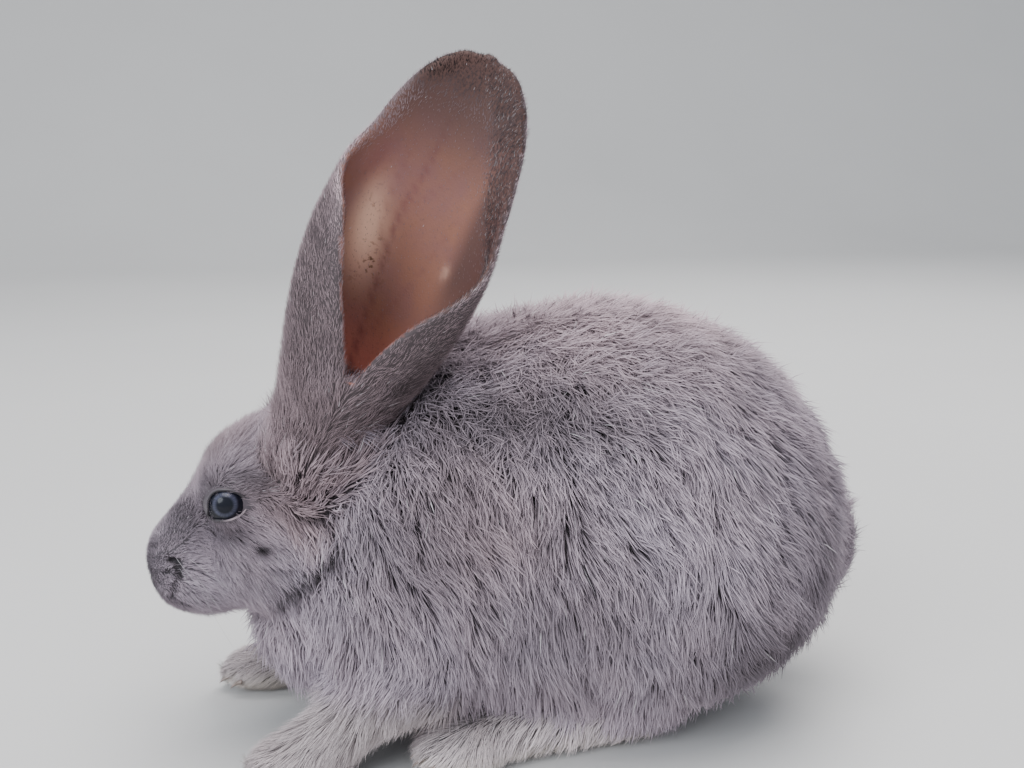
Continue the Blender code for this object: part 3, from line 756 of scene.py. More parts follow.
VEINS = (
    (((0.14, 0.04), (0.33, 0.12), (0.50, 0.22), (0.61, 0.27), (0.72, 0.19), (0.90, 0.14)), 0.036, 1.0),
    (((0.45, 0.18), (0.60, 0.46), (0.80, 0.50)), 0.026, 0.5),
    (((0.30, 0.10), (0.45, -0.20), (0.66, -0.50)), 0.026, 0.45),
    (((0.62, 0.24), (0.74, -0.20), (0.86, -0.40)), 0.022, 0.4),
)
veins = np.zeros(len(skin_points))
for path, width, amount in VEINS:
    veins = np.maximum(veins, amount * vein(path, width))


def ear_spot(height, across, tall, wide, lean=0.0):
    """Bell-shaped spot on the unrolled ear, leaning by so many shares of width for each of height."""
    sideways = across_share - across - lean * (ear_height - height)
    return np.exp(-(sideways / wide) ** 2 - ((ear_height - height) / tall) ** 2)


# Painted light: a paler patch where light shines through the ear.
lit_through_patch = np.maximum(ear_spot(0.55, 0.62, 0.100, 0.26, 1.4), 0.5 * ear_spot(0.54, -0.66, 0.016, 0.06))
specked = ear_spot(0.50, 0.44, 0.13, 0.22, 0.8)
red_streak = ear_spot(0.71, 0.92, 0.07, 0.22, -1.5)
# The red depth low in the ear, partly redder skin and partly painted glow of light through it.
deep = smooth_step(0.42, 0.16, ear_height)
dusky_tip = np.maximum(smooth_step(0.66, 0.90, ear_height),
                       0.9 * smooth_step(-0.52, -0.88, across_share) * smooth_step(0.35, 0.55, ear_height))
for name, values in (("length", length), ("shade", shade), ("cream", cream), ("mauve", mauve)):
    print(name, values.min().round(3), values.max().round(3))


def store(mesh, name, *columns):
    """Store one to three numbers a point as an attribute of the mesh."""
    values = np.zeros((len(mesh.vertices), 3), np.float32)
    for index, column in enumerate(columns):
        values[:, index] = column
    mesh.attributes.new(name, "FLOAT_VECTOR", "POINT").data.foreach_set("vector", values.ravel())


store(skin_mesh, "ear_inside", inside)
store(skin_mesh, "ear_marks_and_glow", veins, lit_through_patch, deep)
store(skin_mesh, "ear_tint", red_streak, specked)

# %% [markdown]
# ## Unwrapping the skin
#
# Baking needs a flat map. Each part of the animal is unrolled by its own shape: the trunk and the
# head round their axes as a label comes off a bottle, the ears by height and arc angle, and the feet
# round their length. Every chart has its own cell of the map, and a face belongs to one chart only.

# %% Charts


def wound(points, centre, axis, up):
    """Way along an axis and angle round it, with angle zero on the side of up."""
    axis = unit(np.array([axis], float))[0]
    up = np.array(up, float) - np.dot(up, axis) * axis
    up /= np.linalg.norm(up)
    offset = points - np.array(centre)
    return offset @ axis, np.arctan2(offset @ np.cross(axis, up), offset @ up)


CELLS = {                                # chart: lower corner and size of its cell in the map
    "trunk": ((0.01, 0.01), (0.98, 0.38)), "head": ((0.01, 0.41), (0.40, 0.30)),
    "ear_left_in": ((0.43, 0.41), (0.13, 0.30)), "ear_left_out": ((0.57, 0.41), (0.13, 0.30)),
    "ear_right_in": ((0.71, 0.41), (0.13, 0.30)), "ear_right_out": ((0.85, 0.41), (0.13, 0.30)),
    "feet_left": ((0.01, 0.73), (0.48, 0.25)), "feet_right": ((0.51, 0.73), (0.48, 0.25)),
}


def chart_places(points, chart):
    """Places of points in a chart, before they are fitted to its cell; the second one may wind."""
    if chart == "trunk":
        return wound(points, (0, 0, 0.070), (1, 0, 0), (0, 0, 1))
    if chart == "head":
        return wound(points, (-0.10, 0, 0.088), (0.62, 0, 0.45), (-0.5, 0, 0.8))
    if chart.startswith("feet"):
        side = -1 if "left" in chart else 1
        return wound(points, (-0.02, side * 0.040, 0.012), (1, 0, 0), (0, 0, 1))
    _, height, angle, _, _, _ = ear_measure(points, EARS[chart.split("_")[1]])
    return height, angle


def corner_map(mesh, points, chart_of_face):
    """Map coordinates of every face corner: each face in its own chart, wound without a jump."""
    loops = mesh_array(mesh.loops, "vertex_index", 1, np.int32)
    starts = mesh_array(mesh.polygons, "loop_start", 1, np.int32)
    totals = mesh_array(mesh.polygons, "loop_total", 1, np.int32)
    face_of_loop = np.repeat(np.arange(len(starts)), totals)
    result = np.zeros((len(loops), 2))
    for number, (chart, (corner, size)) in enumerate(CELLS.items()):
        mine = np.flatnonzero(chart_of_face[face_of_loop] == number)
        if len(mine) == 0:
            continue
        u, v = chart_places(points[loops[mine]], chart)
        first = np.zeros(len(starts))
        face = face_of_loop[mine]
        at_start = mine == starts[face]
        first[face[at_start]] = v[at_start]
        v = first[face] + (v - first[face] + np.pi) % (2 * np.pi) - np.pi
        low, high = np.array((u.min(), v.min())), np.array((u.max(), v.max()))
        result[mine] = corner + (np.stack((u, v), 1) - low) / (high - low) * size
    return result


def face_charts(centres):
    """Number of the chart each face belongs to, from its place and, on an ear, its side."""
    names = list(CELLS)
    chart = np.full(len(centres), names.index("trunk"))
    _, _, nearer_head = coat_field(centres)
    chart[nearer_head < 0] = names.index("head")
    low = (centres[:, 2] < 0.026) & (np.abs(centres[:, 1]) > 0.020)
    chart[low & (centres[:, 1] < 0)] = names.index("feet_left")
    chart[low & (centres[:, 1] > 0)] = names.index("feet_right")
    for name, ear in EARS.items():
        sheet, height, _, _, side, _ = ear_measure(centres, ear)
        on_ear = (sheet < 0.0022) & (height > 0.05)
        chart[on_ear & (side > 0)] = names.index(f"ear_{name}_in")
        chart[on_ear & (side <= 0)] = names.index(f"ear_{name}_out")
    return chart


face_centres = mesh_array(skin_mesh.polygons, "center", 3).astype(float)
skin_map = corner_map(skin_mesh, skin_points, face_charts(face_centres))
skin_mesh.uv_layers.new(name="OFBake").data.foreach_set("uv", skin_map.astype(np.float32).ravel())
print(len(CELLS), "charts, map from", skin_map.min(0).round(3), "to", skin_map.max(0).round(3))

# %% [markdown]
# ## The outline of the eye's opening
#
# The lids leave an opening that is almost round, drawn out to a corner at the lower front and fuller
# at the rear. It is written as the way from the middle of the gaze at a few angles. The hair has to
# stop short of it and the lids are built on it, so it comes before both.

# %% Opening of the eye
EYE_OPENING = ((0, 7.0), (25, 5.7), (55, 4.7), (90, 4.4), (130, 5.2), (165, 5.5), (195, 5.8), (219, 7.1),
               (238, 5.8), (270, 5.3), (300, 5.4), (330, 6.4), (360, 7.0))     # degrees and mm


def eye_axes():
    """The way back, the way up and the way out of the eye at +Y, square to one another."""
    back = np.array((1.0, 0, 0)) - GAZE[0] * GAZE
    back /= np.linalg.norm(back)
    up = np.cross(GAZE, back)
    return back, up * np.sign(up[2]), GAZE


def eye_angles(offset):
    """Angle off the gaze and turn about it (0 back, quarter turn up) of ways from the eye's centre."""
    back, up, out = eye_axes()
    return (np.arctan2(np.hypot(offset @ back, offset @ up), offset @ out),
            np.arctan2(offset @ up, offset @ back) % (2 * np.pi))


def lid_rim(turn):
    """Angle off the gaze of the opening's edge at each turn."""
    way = smooth_curve(np.degrees(turn), EYE_OPENING) * MM
    return np.arcsin(np.clip(way / EYE_RADIUS, 0, 0.97))


from_eye = folded - EYE_CENTRE
eye_off, eye_turn = eye_angles(from_eye)
eye_reach = np.linalg.norm(from_eye, axis=1)
past_rim = (eye_off - lid_rim(eye_turn)) * EYE_RADIUS + np.maximum(eye_reach - EYE_RADIUS - 0.002, 0)
print("skin points within 2 mm of the eye's rim:", int((np.abs(past_rim) < 0.002).sum()))

# %% [markdown]
# ## The finishes
#
# Fur looks soft because each hair is dark at its root and light at its tip, partly as real underfur is
# and partly as painted shade deep in the coat, and because no two tufts are quite the same. The coat's
# material mixes its colour from the markings and the painted shade, then lightens it along each tuft and
# varies it from tuft to tuft. The skin uses the same colours under the hair, darkened as painted shade.
# Inside the ears it changes to bare skin with veins and specks, and painted light shining through. All
# of it is worked out by nodes from attributes and noise in object space.

# %% Colours and node helpers
BLUE_GREY = (0.402, 0.346, 0.408, 1)
MAUVE_GREY = (0.445, 0.330, 0.354, 1)
CREAM = (0.700, 0.620, 0.560, 1)
EAR_WARM = (0.230, 0.098, 0.066, 1)
EAR_ROSE = (0.195, 0.086, 0.078, 1)
# Painted light: the pale glow where light shines through the thin ear.
EAR_LIT_THROUGH = (0.900, 0.540, 0.390, 1)
# The ear's red depth: redder skin, brightened with painted glow of light shining through.
EAR_RED_AND_GLOW = (0.720, 0.250, 0.180, 1)
EAR_VEIN = (0.150, 0.048, 0.046, 1)
EAR_SPECK = (0.120, 0.055, 0.028, 1)
EAR_DUSK = (0.066, 0.032, 0.027, 1)
RIM_PALE = (0.300, 0.240, 0.262, 1)
# Dark lid rim, also painted shade in the grooves and in the upper lid's crease.
DARK_RIM_AND_SHADE = (0.030, 0.026, 0.030, 1)
TAUPE = (0.098, 0.082, 0.094, 1)

# %% [markdown]
# ### A short way to write nodes
#
# A material is a tree of nodes, and adding each by hand takes many lines. This helper adds one node a
# call and gives back its output, so a material reads like a sum.

# %% Node helpers


class Nodes:
    """A material's nodes, added one by one and joined by their sockets."""

    def __init__(self, name):
        """A new material with its own node tree."""
        self.material = bpy.data.materials.new(name)
        self.material.use_nodes = True
        self.tree = self.material.node_tree
        self.shader = self.tree.nodes["Principled BSDF"]

    def add(self, kind, settings=(), inputs=()):
        """A node with its settings and inputs; an input is a value or another node's output."""
        node = self.tree.nodes.new(kind)
        for name, value in dict(settings).items():
            setattr(node, name, value)
        for key, value in dict(inputs).items():
            if isinstance(value, bpy.types.NodeSocket):
                self.tree.links.new(value, node.inputs[key])
            else:
                node.inputs[key].default_value = value
        return node

    def maths(self, operation, first, second=0.0, clamp=False):
        """One sum of two numbers."""
        return self.add("ShaderNodeMath", {"operation": operation, "use_clamp": clamp},
                        {0: first, 1: second}).outputs[0]

    def blend(self, share, first, second, how="MIX"):
        """One colour blended into another."""
        node = self.add("ShaderNodeMix", {"data_type": "RGBA", "blend_type": how, "clamp_factor": True},
                        {"Factor": share, "A": first, "B": second})
        return node.outputs["Result"]

    def read(self, name):
        """The three numbers of an attribute."""
        vector = self.add("ShaderNodeAttribute", {"attribute_name": name}).outputs["Vector"]
        return self.add("ShaderNodeSeparateXYZ", inputs={0: vector}).outputs

    def noise(self, scale, detail=3.0, roughness=0.5, distortion=0.0):
        """Noise in object space, from 0 to 1."""
        place = self.add("ShaderNodeTexCoord").outputs["Object"]
        node = self.add("ShaderNodeTexNoise", inputs={"Vector": place, "Scale": scale, "Detail": detail,
                                                      "Roughness": roughness, "Distortion": distortion})
        return node.outputs["Fac"]

    def ramp(self, value, *stops):
        """A grey ramp through (place, value) stops."""
        node = self.add("ShaderNodeValToRGB", inputs={"Fac": value})
        ramp = node.color_ramp
        while len(ramp.elements) < len(stops):
            ramp.elements.new(0.5)
        for element, (place, grey) in zip(ramp.elements, stops):
            element.position = place
            element.color = (grey, grey, grey, 1)
        return node.outputs["Color"]

    def scaled(self, colour, number):
        """A colour times a number."""
        return self.add("ShaderNodeVectorMath", {"operation": "SCALE"},
                        {0: colour, "Scale": number}).outputs[0]

    def bump(self, height, distance, strength=1.0):
        """The shader's normal moved by a height."""
        node = self.add("ShaderNodeBump", inputs={"Height": height, "Distance": distance,
                                                  "Strength": strength})
        self.tree.links.new(node.outputs[0], self.shader.inputs["Normal"])

    def finish(self, colour, **values):
        """Link the colour and set the shader's own values."""
        self.tree.links.new(colour, self.shader.inputs["Base Color"])
        for name, value in values.items():
            self.shader.inputs[name.replace("_", " ")].default_value = value
        return self.material


def marked_and_shaded_colour(nodes):
    """The coat's colour from the markings and painted shade, without the changes along a tuft."""
    shade, mauve, cream = nodes.read("marks_and_shade")
    warmth = nodes.maths("ADD", mauve, nodes.maths("MULTIPLY", nodes.noise(45.0), 0.5), clamp=True)
    colour = nodes.blend(warmth, BLUE_GREY, MAUVE_GREY)
    colour = nodes.blend(cream, colour, CREAM)
    light = nodes.maths("MAXIMUM", nodes.maths("SUBTRACT", 1.0, nodes.maths("MULTIPLY", shade, 0.80)), 0.04)
    return nodes.scaled(colour, light)


# %% [markdown]
# ### The skin's material
#
# Under the hair the skin takes the coat's own colours, darkened as painted shade, so that a gap in the
# coat looks deep. Inside the ears it is bare: warm browns mixed by noise, with the veins, the patch of
# painted light, the red depth with its painted glow, and the specks laid over them, and a little fine
# bump for its grain.

# %% Skin material
nodes = Nodes("skin")
# Painted shade: the skin under the hair is darkened so that gaps in the coat look deep.
shade_under_coat = nodes.scaled(marked_and_shaded_colour(nodes), 0.16)
ear_inner, _, _ = nodes.read("ear_inside")
vein_amount, lit_through_amount, red_and_glow_amount = nodes.read("ear_marks_and_glow")
dusk_amount, groove_shade_amount, lid_amount = nodes.read("bare")
streak_amount, specked_amount, _ = nodes.read("ear_tint")
bare = nodes.blend(nodes.ramp(nodes.noise(60.0, 4.0), (0.35, 0), (0.65, 1)), EAR_WARM, EAR_ROSE)
# Painted light shining through the ear.
bare = nodes.blend(nodes.maths("MULTIPLY", lit_through_amount, 0.85), bare, EAR_LIT_THROUGH)
# The red depth, partly painted glow.
bare = nodes.blend(nodes.maths("MULTIPLY", red_and_glow_amount, 0.90), bare, EAR_RED_AND_GLOW)
bare = nodes.blend(nodes.maths("MULTIPLY", vein_amount, 0.60), bare, EAR_VEIN)
bare = nodes.blend(nodes.maths("MULTIPLY", streak_amount, 0.75), bare, EAR_VEIN)
specks = nodes.ramp(nodes.noise(620.0, 2.0), (0.56, 0), (0.66, 1))
where = nodes.ramp(nodes.noise(90.0, 3.0), (0.45, 0.1), (0.62, 0.9))
where = nodes.maths("MULTIPLY", where, nodes.maths("ADD", specked_amount, 0.12, True))
bare = nodes.blend(nodes.maths("MULTIPLY", specks, where), bare, EAR_SPECK)
bare = nodes.blend(nodes.maths("MULTIPLY", dusk_amount, 0.94), bare, EAR_DUSK)
colour = nodes.blend(ear_inner, shade_under_coat, bare)
colour = nodes.blend(lid_amount, colour, TAUPE)
# Painted shade in the grooves: nostrils, lips, mouth and between the toes.
colour = nodes.blend(nodes.maths("MULTIPLY", groove_shade_amount, 0.8), colour, DARK_RIM_AND_SHADE)
nodes.bump(nodes.noise(1400.0, 3.0), 0.00012, 0.5)
skin_material = nodes.finish(colour, Roughness=0.62, Specular_IOR_Level=0.30, Subsurface_Weight=0.0)

# %% [markdown]
# ### The coat's material
#
# A tuft is dark at its root and pale at its tip, partly as real underfur is and partly as painted shade
# deep in the coat, and each differs a little from its neighbours. That gives depth without a light finding
# its way between the hairs.

# %% Coat material
nodes = Nodes("coat")
along, chance, whiteness = nodes.read("tuft")
# Darker towards the root: partly real underfur, partly painted shade deep in the coat.
rise = nodes.ramp(along, (0.0, 0.06), (0.45, 0.30), (0.78, 0.75), (1.0, 1.0))
varied = nodes.maths("ADD", nodes.maths("MULTIPLY", chance, 1.05), 0.55)
colour = nodes.scaled(nodes.scaled(marked_and_shaded_colour(nodes), rise), varied)
colour = nodes.blend(nodes.maths("MULTIPLY", whiteness, 0.75), colour, (0.66, 0.62, 0.64, 1))
coat_material = nodes.finish(colour, Roughness=0.70, Specular_IOR_Level=0.18)
print([material.name for material in bpy.data.materials][-2:])

# %% [markdown]
# ## The skin as an object
#
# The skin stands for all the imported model's flesh. It rides on the one body of a still model.

# %% Add the skin
FLESH = ["trunk", "head", "neck", "tail", "ear_left", "ear_right", "foreleg_left", "foreleg_right",
         "forepaw_left", "forepaw_right", "thigh_left", "thigh_right", "hind_foot_left",
         "hind_foot_right"]


def add_piece(name, mesh, material, nodes_replaced=()):
    """Put a mesh into the scene at the origin, riding on the still model's one body."""
    mesh.materials.append(material)
    piece = bpy.data.objects.new(name, mesh)
    bpy.context.scene.collection.objects.link(piece)
    mesh.shade_smooth()
    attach(piece, "root")
    if nodes_replaced:
        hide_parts(*nodes_replaced)
    return piece


skin = add_piece("skin", skin_mesh, skin_material, FLESH)

# %% [markdown]
# ## Planting the coat
#
# A tuft is a thin closed spike that leaves the skin at a slant and bends over to lie along the body.
# Long tufts have a bend at half their length, and short ones are straight. Their roots are spread
# evenly over the skin, closer where the hair is short. Each tuft leans by the lie of the coat at its
# root, turned a little by slow noise, and neighbours draw together at their tips into locks.
# Particle hair would be simpler, but it leaves no mesh behind.

# %% Roots
random = np.random.default_rng(11)
skin_mesh.calc_loop_triangles()
triangle_points = mesh_array(skin_mesh.loop_triangles, "vertices", 3, np.int32)
triangle_loops = mesh_array(skin_mesh.loop_triangles, "loops", 3, np.int32)
corner_places = skin_points[triangle_points]
triangle_area = np.linalg.norm(np.cross(corner_places[:, 1] - corner_places[:, 0],
                                        corner_places[:, 2] - corner_places[:, 0]), axis=1) / 2

LONG_COAT = 0.0105                       # hair longer than this gets a bend
LONG_DENSITY, SHORT_MORE = 1.87, 4.4     # tufts a square millimetre, and how many more of short hair
hair_length, hair_depth = length, depth
density = LONG_DENSITY + SHORT_MORE * smooth_step(0.0125, 0.0060, length)
underside = smooth_step(-0.35, -0.75, skin_normals[:, 2]) * (1 - ear_part)
density *= 1 - 0.70 * underside * smooth_step(0.0060, 0.0085, depth)
density *= 1 - 0.40 * foot
density *= 1 - smooth_step(0.45, 0.90, pressed / 0.0012)
near_eye = smooth_step(0.012, 0.002, past_rim)
hair_length = hair_length * (1 - 0.55 * near_eye)
hair_depth = hair_depth * (1 - 0.45 * near_eye)
density *= smooth_step(0.0002, 0.0008, past_rim)
muzzle = smooth_step(-0.112, -0.124, folded[:, 0]) * (head_side < 0)
hair_length = hair_length * (1 - 0.25 * muzzle)

REAR_BAND = 0.0140                       # width of the dark hair inside the ear's rear edge
INSIDE_FROM = 0.22                       # height at which the rolled ear opens
on_ear = ear_part > 0.5
inner_face = on_ear & (ear_side > 0) & (ear_height > INSIDE_FROM)
outer_face = on_ear & ~inner_face
towards_front = ear_end > 0
rear_band = smooth_step(1.25, 0.70, ear_inward / REAR_BAND) * ~towards_front
rear_band = rear_band * smooth_step(0.40, 0.55, ear_height)
front_width = 0.0024 + 0.0034 * smooth_step(0.62, 0.74, ear_height)
front_band = smooth_step(1.2, 0.7, ear_inward / front_width) * towards_front
tip_band = smooth_step(0.024, 0.008, tip_way)
inner_cover = np.maximum.reduce((rear_band, front_band, tip_band))
flap = outer_face * ~towards_front * smooth_step(0.60, 0.45, ear_height)
flap_bare = flap * smooth_step(0.009, 0.002, ear_inward) * smooth_step(0.10, 0.17, ear_height)
edge_fur = smooth_step(0.0040, 0.0010, ear_inward) * ear_part
low_ear = smooth_step(0.45, 0.08, ear_height) * ear_part
density = np.where(outer_face, 2.15 - 0.8 * flap_bare, density)
density = np.where(inner_face, 0.25 + 3.3 * inner_cover, density)
hair_length = np.where(on_ear, 0.0026 + 0.0046 * low_ear, hair_length)
hair_length = np.where(inner_face, 0.0014 + 0.0012 * np.maximum(rear_band, 0.3 * tip_band)
                       + 0.0010 * front_band + 0.0012 * front_band * low_ear, hair_length)
hair_length *= 1 - 0.30 * edge_fur * smooth_step(0.3, 0.5, ear_height)
hair_length *= 1 - 0.40 * ear_part * smooth_step(0.012, 0.003, tip_way)
hair_depth = np.where(on_ear, EAR_COAT * np.where(ear_side > 0, 0.55, 0.9) + 0.0016 * low_ear, hair_depth)
hair_length = np.maximum(hair_length, 0.0100 * ear_ring)
lie = np.where(on_ear[:, None], ear_lie, lie * (1 - ear_ring[:, None]) + 1.6 * ear_lie * ear_ring[:, None])
lie -= (lie * skin_normals).sum(1, keepdims=True) * skin_normals
lie = unit(lie)

# %% [markdown]
# ### Marks in the ears' hair, and where roots go
#
# The ears' hair has markings of its own: dark at the rear edge and the tip, pale along the outer rim.
# The roots are then spread evenly, by taking equal steps through the triangles' shares of the coat.
# Picking every place by chance would leave clumps and gaps.

# %% Ear hair and root places
ear_shade = np.where(inner_face, 1.06 * np.maximum(rear_band, tip_band) + 0.35 * front_band
                     * smooth_step(0.60, 0.80, ear_height) + 0.55 * (1 - inner_cover),
                     0.26 + 0.20 * tip_band)
ear_shade = np.where(outer_face & ~towards_front,
                     np.maximum(ear_shade, 0.50 * smooth_step(0.62, 0.40, ear_height)
                                * smooth_step(0.006, 0.014, ear_inward)), ear_shade)
pale_rim = outer_face * smooth_step(0.0055, 0.0010, ear_inward) * smooth_step(0.50, 0.65, ear_height)
ear_shade = ear_shade - 0.75 * pale_rim
shade = np.where(on_ear, ear_shade, shade)
mauve = np.where(on_ear, 0.75 + 0.25 * flap_bare, np.maximum(mauve, 0.7 * ear_ring))
# The second number is the painted shade of the grooves.
store(skin_mesh, "bare", dusky_tip, smooth_step(0.0004, 0.0014, pressed),
      smooth_step(0.0030, 0.0010, past_rim))
marks_and_shade = np.stack((shade, mauve, cream), 1).astype(np.float32)
store(skin_mesh, "marks_and_shade", *marks_and_shade.T)

share = triangle_area * 1e6 * density[triangle_points].mean(1)
bounds = np.cumsum(share)
root_count = int(bounds[-1])
picks = (np.arange(root_count) + random.random(root_count)) * bounds[-1] / root_count
root_triangle = np.minimum(np.searchsorted(bounds, picks), len(bounds) - 1)
first, second = random.random((2, root_count))
over = first + second > 1
first, second = np.where(over, 1 - first, first), np.where(over, 1 - second, second)
corner_share = np.stack((1 - first - second, first, second), 1)[:, :, None]


def at_roots(values):
    """Values of the skin's points carried to the roots."""
    wide = values if values.ndim > 1 else values[:, None]
    found = (wide[triangle_points[root_triangle]] * corner_share).sum(1)
    return found if values.ndim > 1 else found[:, 0]


root = at_roots(skin_points)
root_normal = unit(at_roots(skin_normals))
root_lie = at_roots(lie)
root_length, root_depth = at_roots(hair_length), at_roots(hair_depth)
root_marks_and_shade = at_roots(marks_and_shade.astype(float))
root_on_ear = at_roots(ear_part) > 0.5
root_edge_dark = at_roots(rear_band * inner_face)
root_ring = at_roots(ear_ring)
root_fluff = at_roots(smooth_step(0.45, 0.85, skin_normals[:, 2]) * smooth_step(0.0086, 0.0091, depth)
                      * smooth_step(0.120, 0.140, folded[:, 2]))
root_head_side = at_roots(head_side)
root_map = (skin_map[triangle_loops[root_triangle]] * corner_share).sum(1)
print(root_count, "tufts,", int((root_length > LONG_COAT).sum()), "of them long")

# %% [markdown]
# ### Noise and locks
#
# Slow noise turns the coat here and there, so that it isn't combed too neatly. It is a sum of a few
# sine waves with fixed random directions. Locks come from a jittered lattice: every root finds the
# nearest of the points scattered in the cells around it, and its tip leans towards that point.

# %% Waves and locks


def waves(places, size, seed, count=9):
    """Smooth noise of about the given size: a sum of sine waves in fixed random directions."""
    chooser = np.random.default_rng(seed)
    directions = chooser.normal(size=(count, 3))
    directions *= (2 * np.pi / size) / np.linalg.norm(directions, axis=1, keepdims=True)
    directions *= chooser.uniform(0.6, 1.5, (count, 1))
    phases = chooser.uniform(0, 2 * np.pi, count)
    return np.sin(places @ directions.T + phases).sum(1) / np.sqrt(count / 2)


def scrambled(cells, salt):
    """Three fixed random numbers from 0 to 1 for each lattice cell."""
    mixed = (cells[:, 0] * 73856093) ^ (cells[:, 1] * 19349663) ^ (cells[:, 2] * 83492791) ^ salt
    numbers = []
    for _ in range(3):
        mixed = (mixed * 1103515245 + 12345) & 0x7FFFFFFF
        numbers.append(((mixed >> 8) & 0xFFFF) / 65535.0)
    return np.stack(numbers, 1)


def lock_centres(places, size, salt):
    """The nearest scattered lattice point to each place, and a random number of its own."""
    cell = np.floor(places / size).astype(np.int64)
    best = np.full(len(places), np.inf)
    centre = np.zeros_like(places)
    luck = np.zeros(len(places))
    for step in np.ndindex(3, 3, 3):
        near = cell + np.array(step) - 1
        jitter = scrambled(near + 4096, salt)
        point = (near + jitter) * size
        away = ((point - places) ** 2).sum(1)
        closer = away < best
        best[closer] = away[closer]
        centre[closer] = point[closer]
        luck[closer] = jitter[closer, 0]
    return centre, luck


# %% [markdown]
# ### Shaping the tufts
#
# A tuft has a spine of three points: its root, a bend and its tip. It leans over along the lie of
# the coat, and its length, height and turn vary at random, more so where the coat is ruffled. The
# bend and the tip are then measured against the flesh under them and moved to their right height,
# so that hair doesn't stand off where the body curves away. Hair combed by hand could look the same,
# but it wouldn't come out twice alike.

# %% Tuft spines
CRISP_PLACES = (Blob((0.0250, 0.055, 0.1050), (0.0500, 0.040, 0.0420), 1.0),
                Blob((-0.0250, 0.050, 0.1250), (0.0350, 0.040, 0.0250), 0.8))
ROOT_SINK = 0.0003                       # how deep a tuft starts under the skin
OVER_FLOOR = 0.0003                      # hair keeps at least this far over the floor
MOST_MOVED = 0.004                       # furthest that a bend or a tip is moved to its height
crisp = blob_field(mirrored_in_place(root), CRISP_PLACES)             # where single tufts show
long_part = smooth_step(0.0075, 0.0130, root_length)
ruffled = blob_field(mirrored_in_place(root), RUFFLED_AND_SHADED_BLOBS)         # where the hair is messy
small_centre, small_luck = lock_centres(root, 0.0046, 101)
large_centre, large_luck = lock_centres(root, 0.0105, 211)
lock_turn = (small_luck - 0.5) * (0.55 + 1.3 * ruffled + 0.7 * root_fluff) + (large_luck - 0.5) * 0.50
turn = 0.16 * waves(root, 0.045, 3) + long_part * lock_turn + (1 - long_part) * 0.5 * lock_turn
turn = turn + (ruffled + root_fluff * 0.3) * waves(root, 0.0085, 7)
turn = turn + random.normal(0, 1, root_count) * (0.08 + 0.28 * ruffled + 0.25 * root_fluff)
turn *= 1 - 0.6 * root_ring
turn = np.where(root_on_ear, 0.15 * waves(root, 0.012, 9) + random.normal(0, 0.16, root_count), turn)
lateral = np.cross(root_normal, root_lie)
lying = np.cos(turn)[:, None] * root_lie + np.sin(turn)[:, None] * lateral
lateral = np.cross(root_normal, lying)

size = root_length * np.clip(random.normal(1.0, 0.16, root_count), 0.6, 1.6)
height = root_depth * np.clip(random.normal(0.84, 0.18, root_count), 0.30, 1.30)
lifted = 0.10 * waves(root, 0.012, 13) + 0.30 * (large_luck - 0.5) + 0.16 * (small_luck - 0.5)
height *= 1 + long_part * lifted
height *= 1 - 0.45 * np.clip(root_marks_and_shade[:, 0] - 0.25, 0, 1) * long_part * (1 - ruffled)
forward_way = np.sqrt(np.maximum(size ** 2 - height ** 2, (0.4 * size) ** 2))

draw = np.zeros((root_count, 3))
for centre, pull in ((small_centre, 0.60), (large_centre, 0.30)):
    gap = centre - root
    sideways = (gap * lateral).sum(1) * pull * (0.35 + 0.65 * long_part) * (1 - 0.5 * ruffled)
    draw += np.where(root_on_ear, 0.0, sideways)[:, None] * lateral
curl = random.normal(0, 1, root_count) * size * (0.045 + 0.07 * ruffled + 0.06 * root_fluff)

short_nose = 1 - 0.45 * smooth_step(-0.118, -0.127, root[:, 0] - SHIFT[0]) * (root_head_side < 0)
size, height = size * short_nose, height * short_nose
forward_way = forward_way * short_nose
spine = [root - ROOT_SINK * root_normal]
for part, rise, drawn in ((0.5, 0.70, 0.40), (1.0, 1.0, 1.0)):
    spine.append(root + (part * forward_way)[:, None] * lying + (rise * height)[:, None] * root_normal
                 + drawn * draw + (part * (2 - part) * curl)[:, None] * lateral)
root_tips_way, root_values, _ = coat_field(root)
over_flesh = np.maximum(root_tips_way + root_values[:, 0], 0)         # the ears' roots stand up here
for index, rise in ((1, 0.70), (2, 1.0)):
    tips_way, values, _ = coat_field(spine[index])
    off = np.where(root_on_ear, 0, rise * height + over_flesh - (tips_way + values[:, 0]))
    spine[index] = spine[index] + np.clip(off, -MOST_MOVED, MOST_MOVED)[:, None] * root_normal
    spine[index][:, 2] = np.maximum(spine[index][:, 2], OVER_FLOOR + 0.0002 * random.random(root_count))
spine[0][:, 2] = np.maximum(spine[0][:, 2], OVER_FLOOR)

# A tuft takes its darkness from where it shows, which is nearer its tip than its root.
shown = mirrored_in_place(0.35 * spine[1] + 0.65 * spine[2])
lock_shade = 0.34 * (large_luck - 0.5) + 0.16 * (small_luck - 0.5)
root_marks_and_shade[:, 0] = np.where(root_on_ear, root_marks_and_shade[:, 0], coat_shade(shown) + lock_shade)
EAR_TUFT_WIDTH = 0.00024
width = np.interp(root_length, (0.0024, 0.0045, 0.009, 0.016), (0.00022, 0.00026, 0.00036, 0.00046))
width = np.where(root_on_ear, EAR_TUFT_WIDTH, width)
width *= np.clip(random.normal(1, 0.25, root_count), 0.5, 1.6) * (1 - 0.25 * root_fluff)
print("hair from", round(1000 * size.min(), 1), "to", round(1000 * size.max(), 1), "mm")

# %% [markdown]
# ### Tufts as meshes
#
# Every long spine becomes a spindle: a point at the root, a three-sided ring where it bends, and a
# point at the tip. A short one becomes a spike with a three-sided foot. All tufts of a piece are
# laid out in the same order, so the mesh comes from array sums: points, faces, map and attributes.
# Each point also takes a share of the skin's normal, which shades the tufts as one soft coat.

# %% Build the coat's pieces


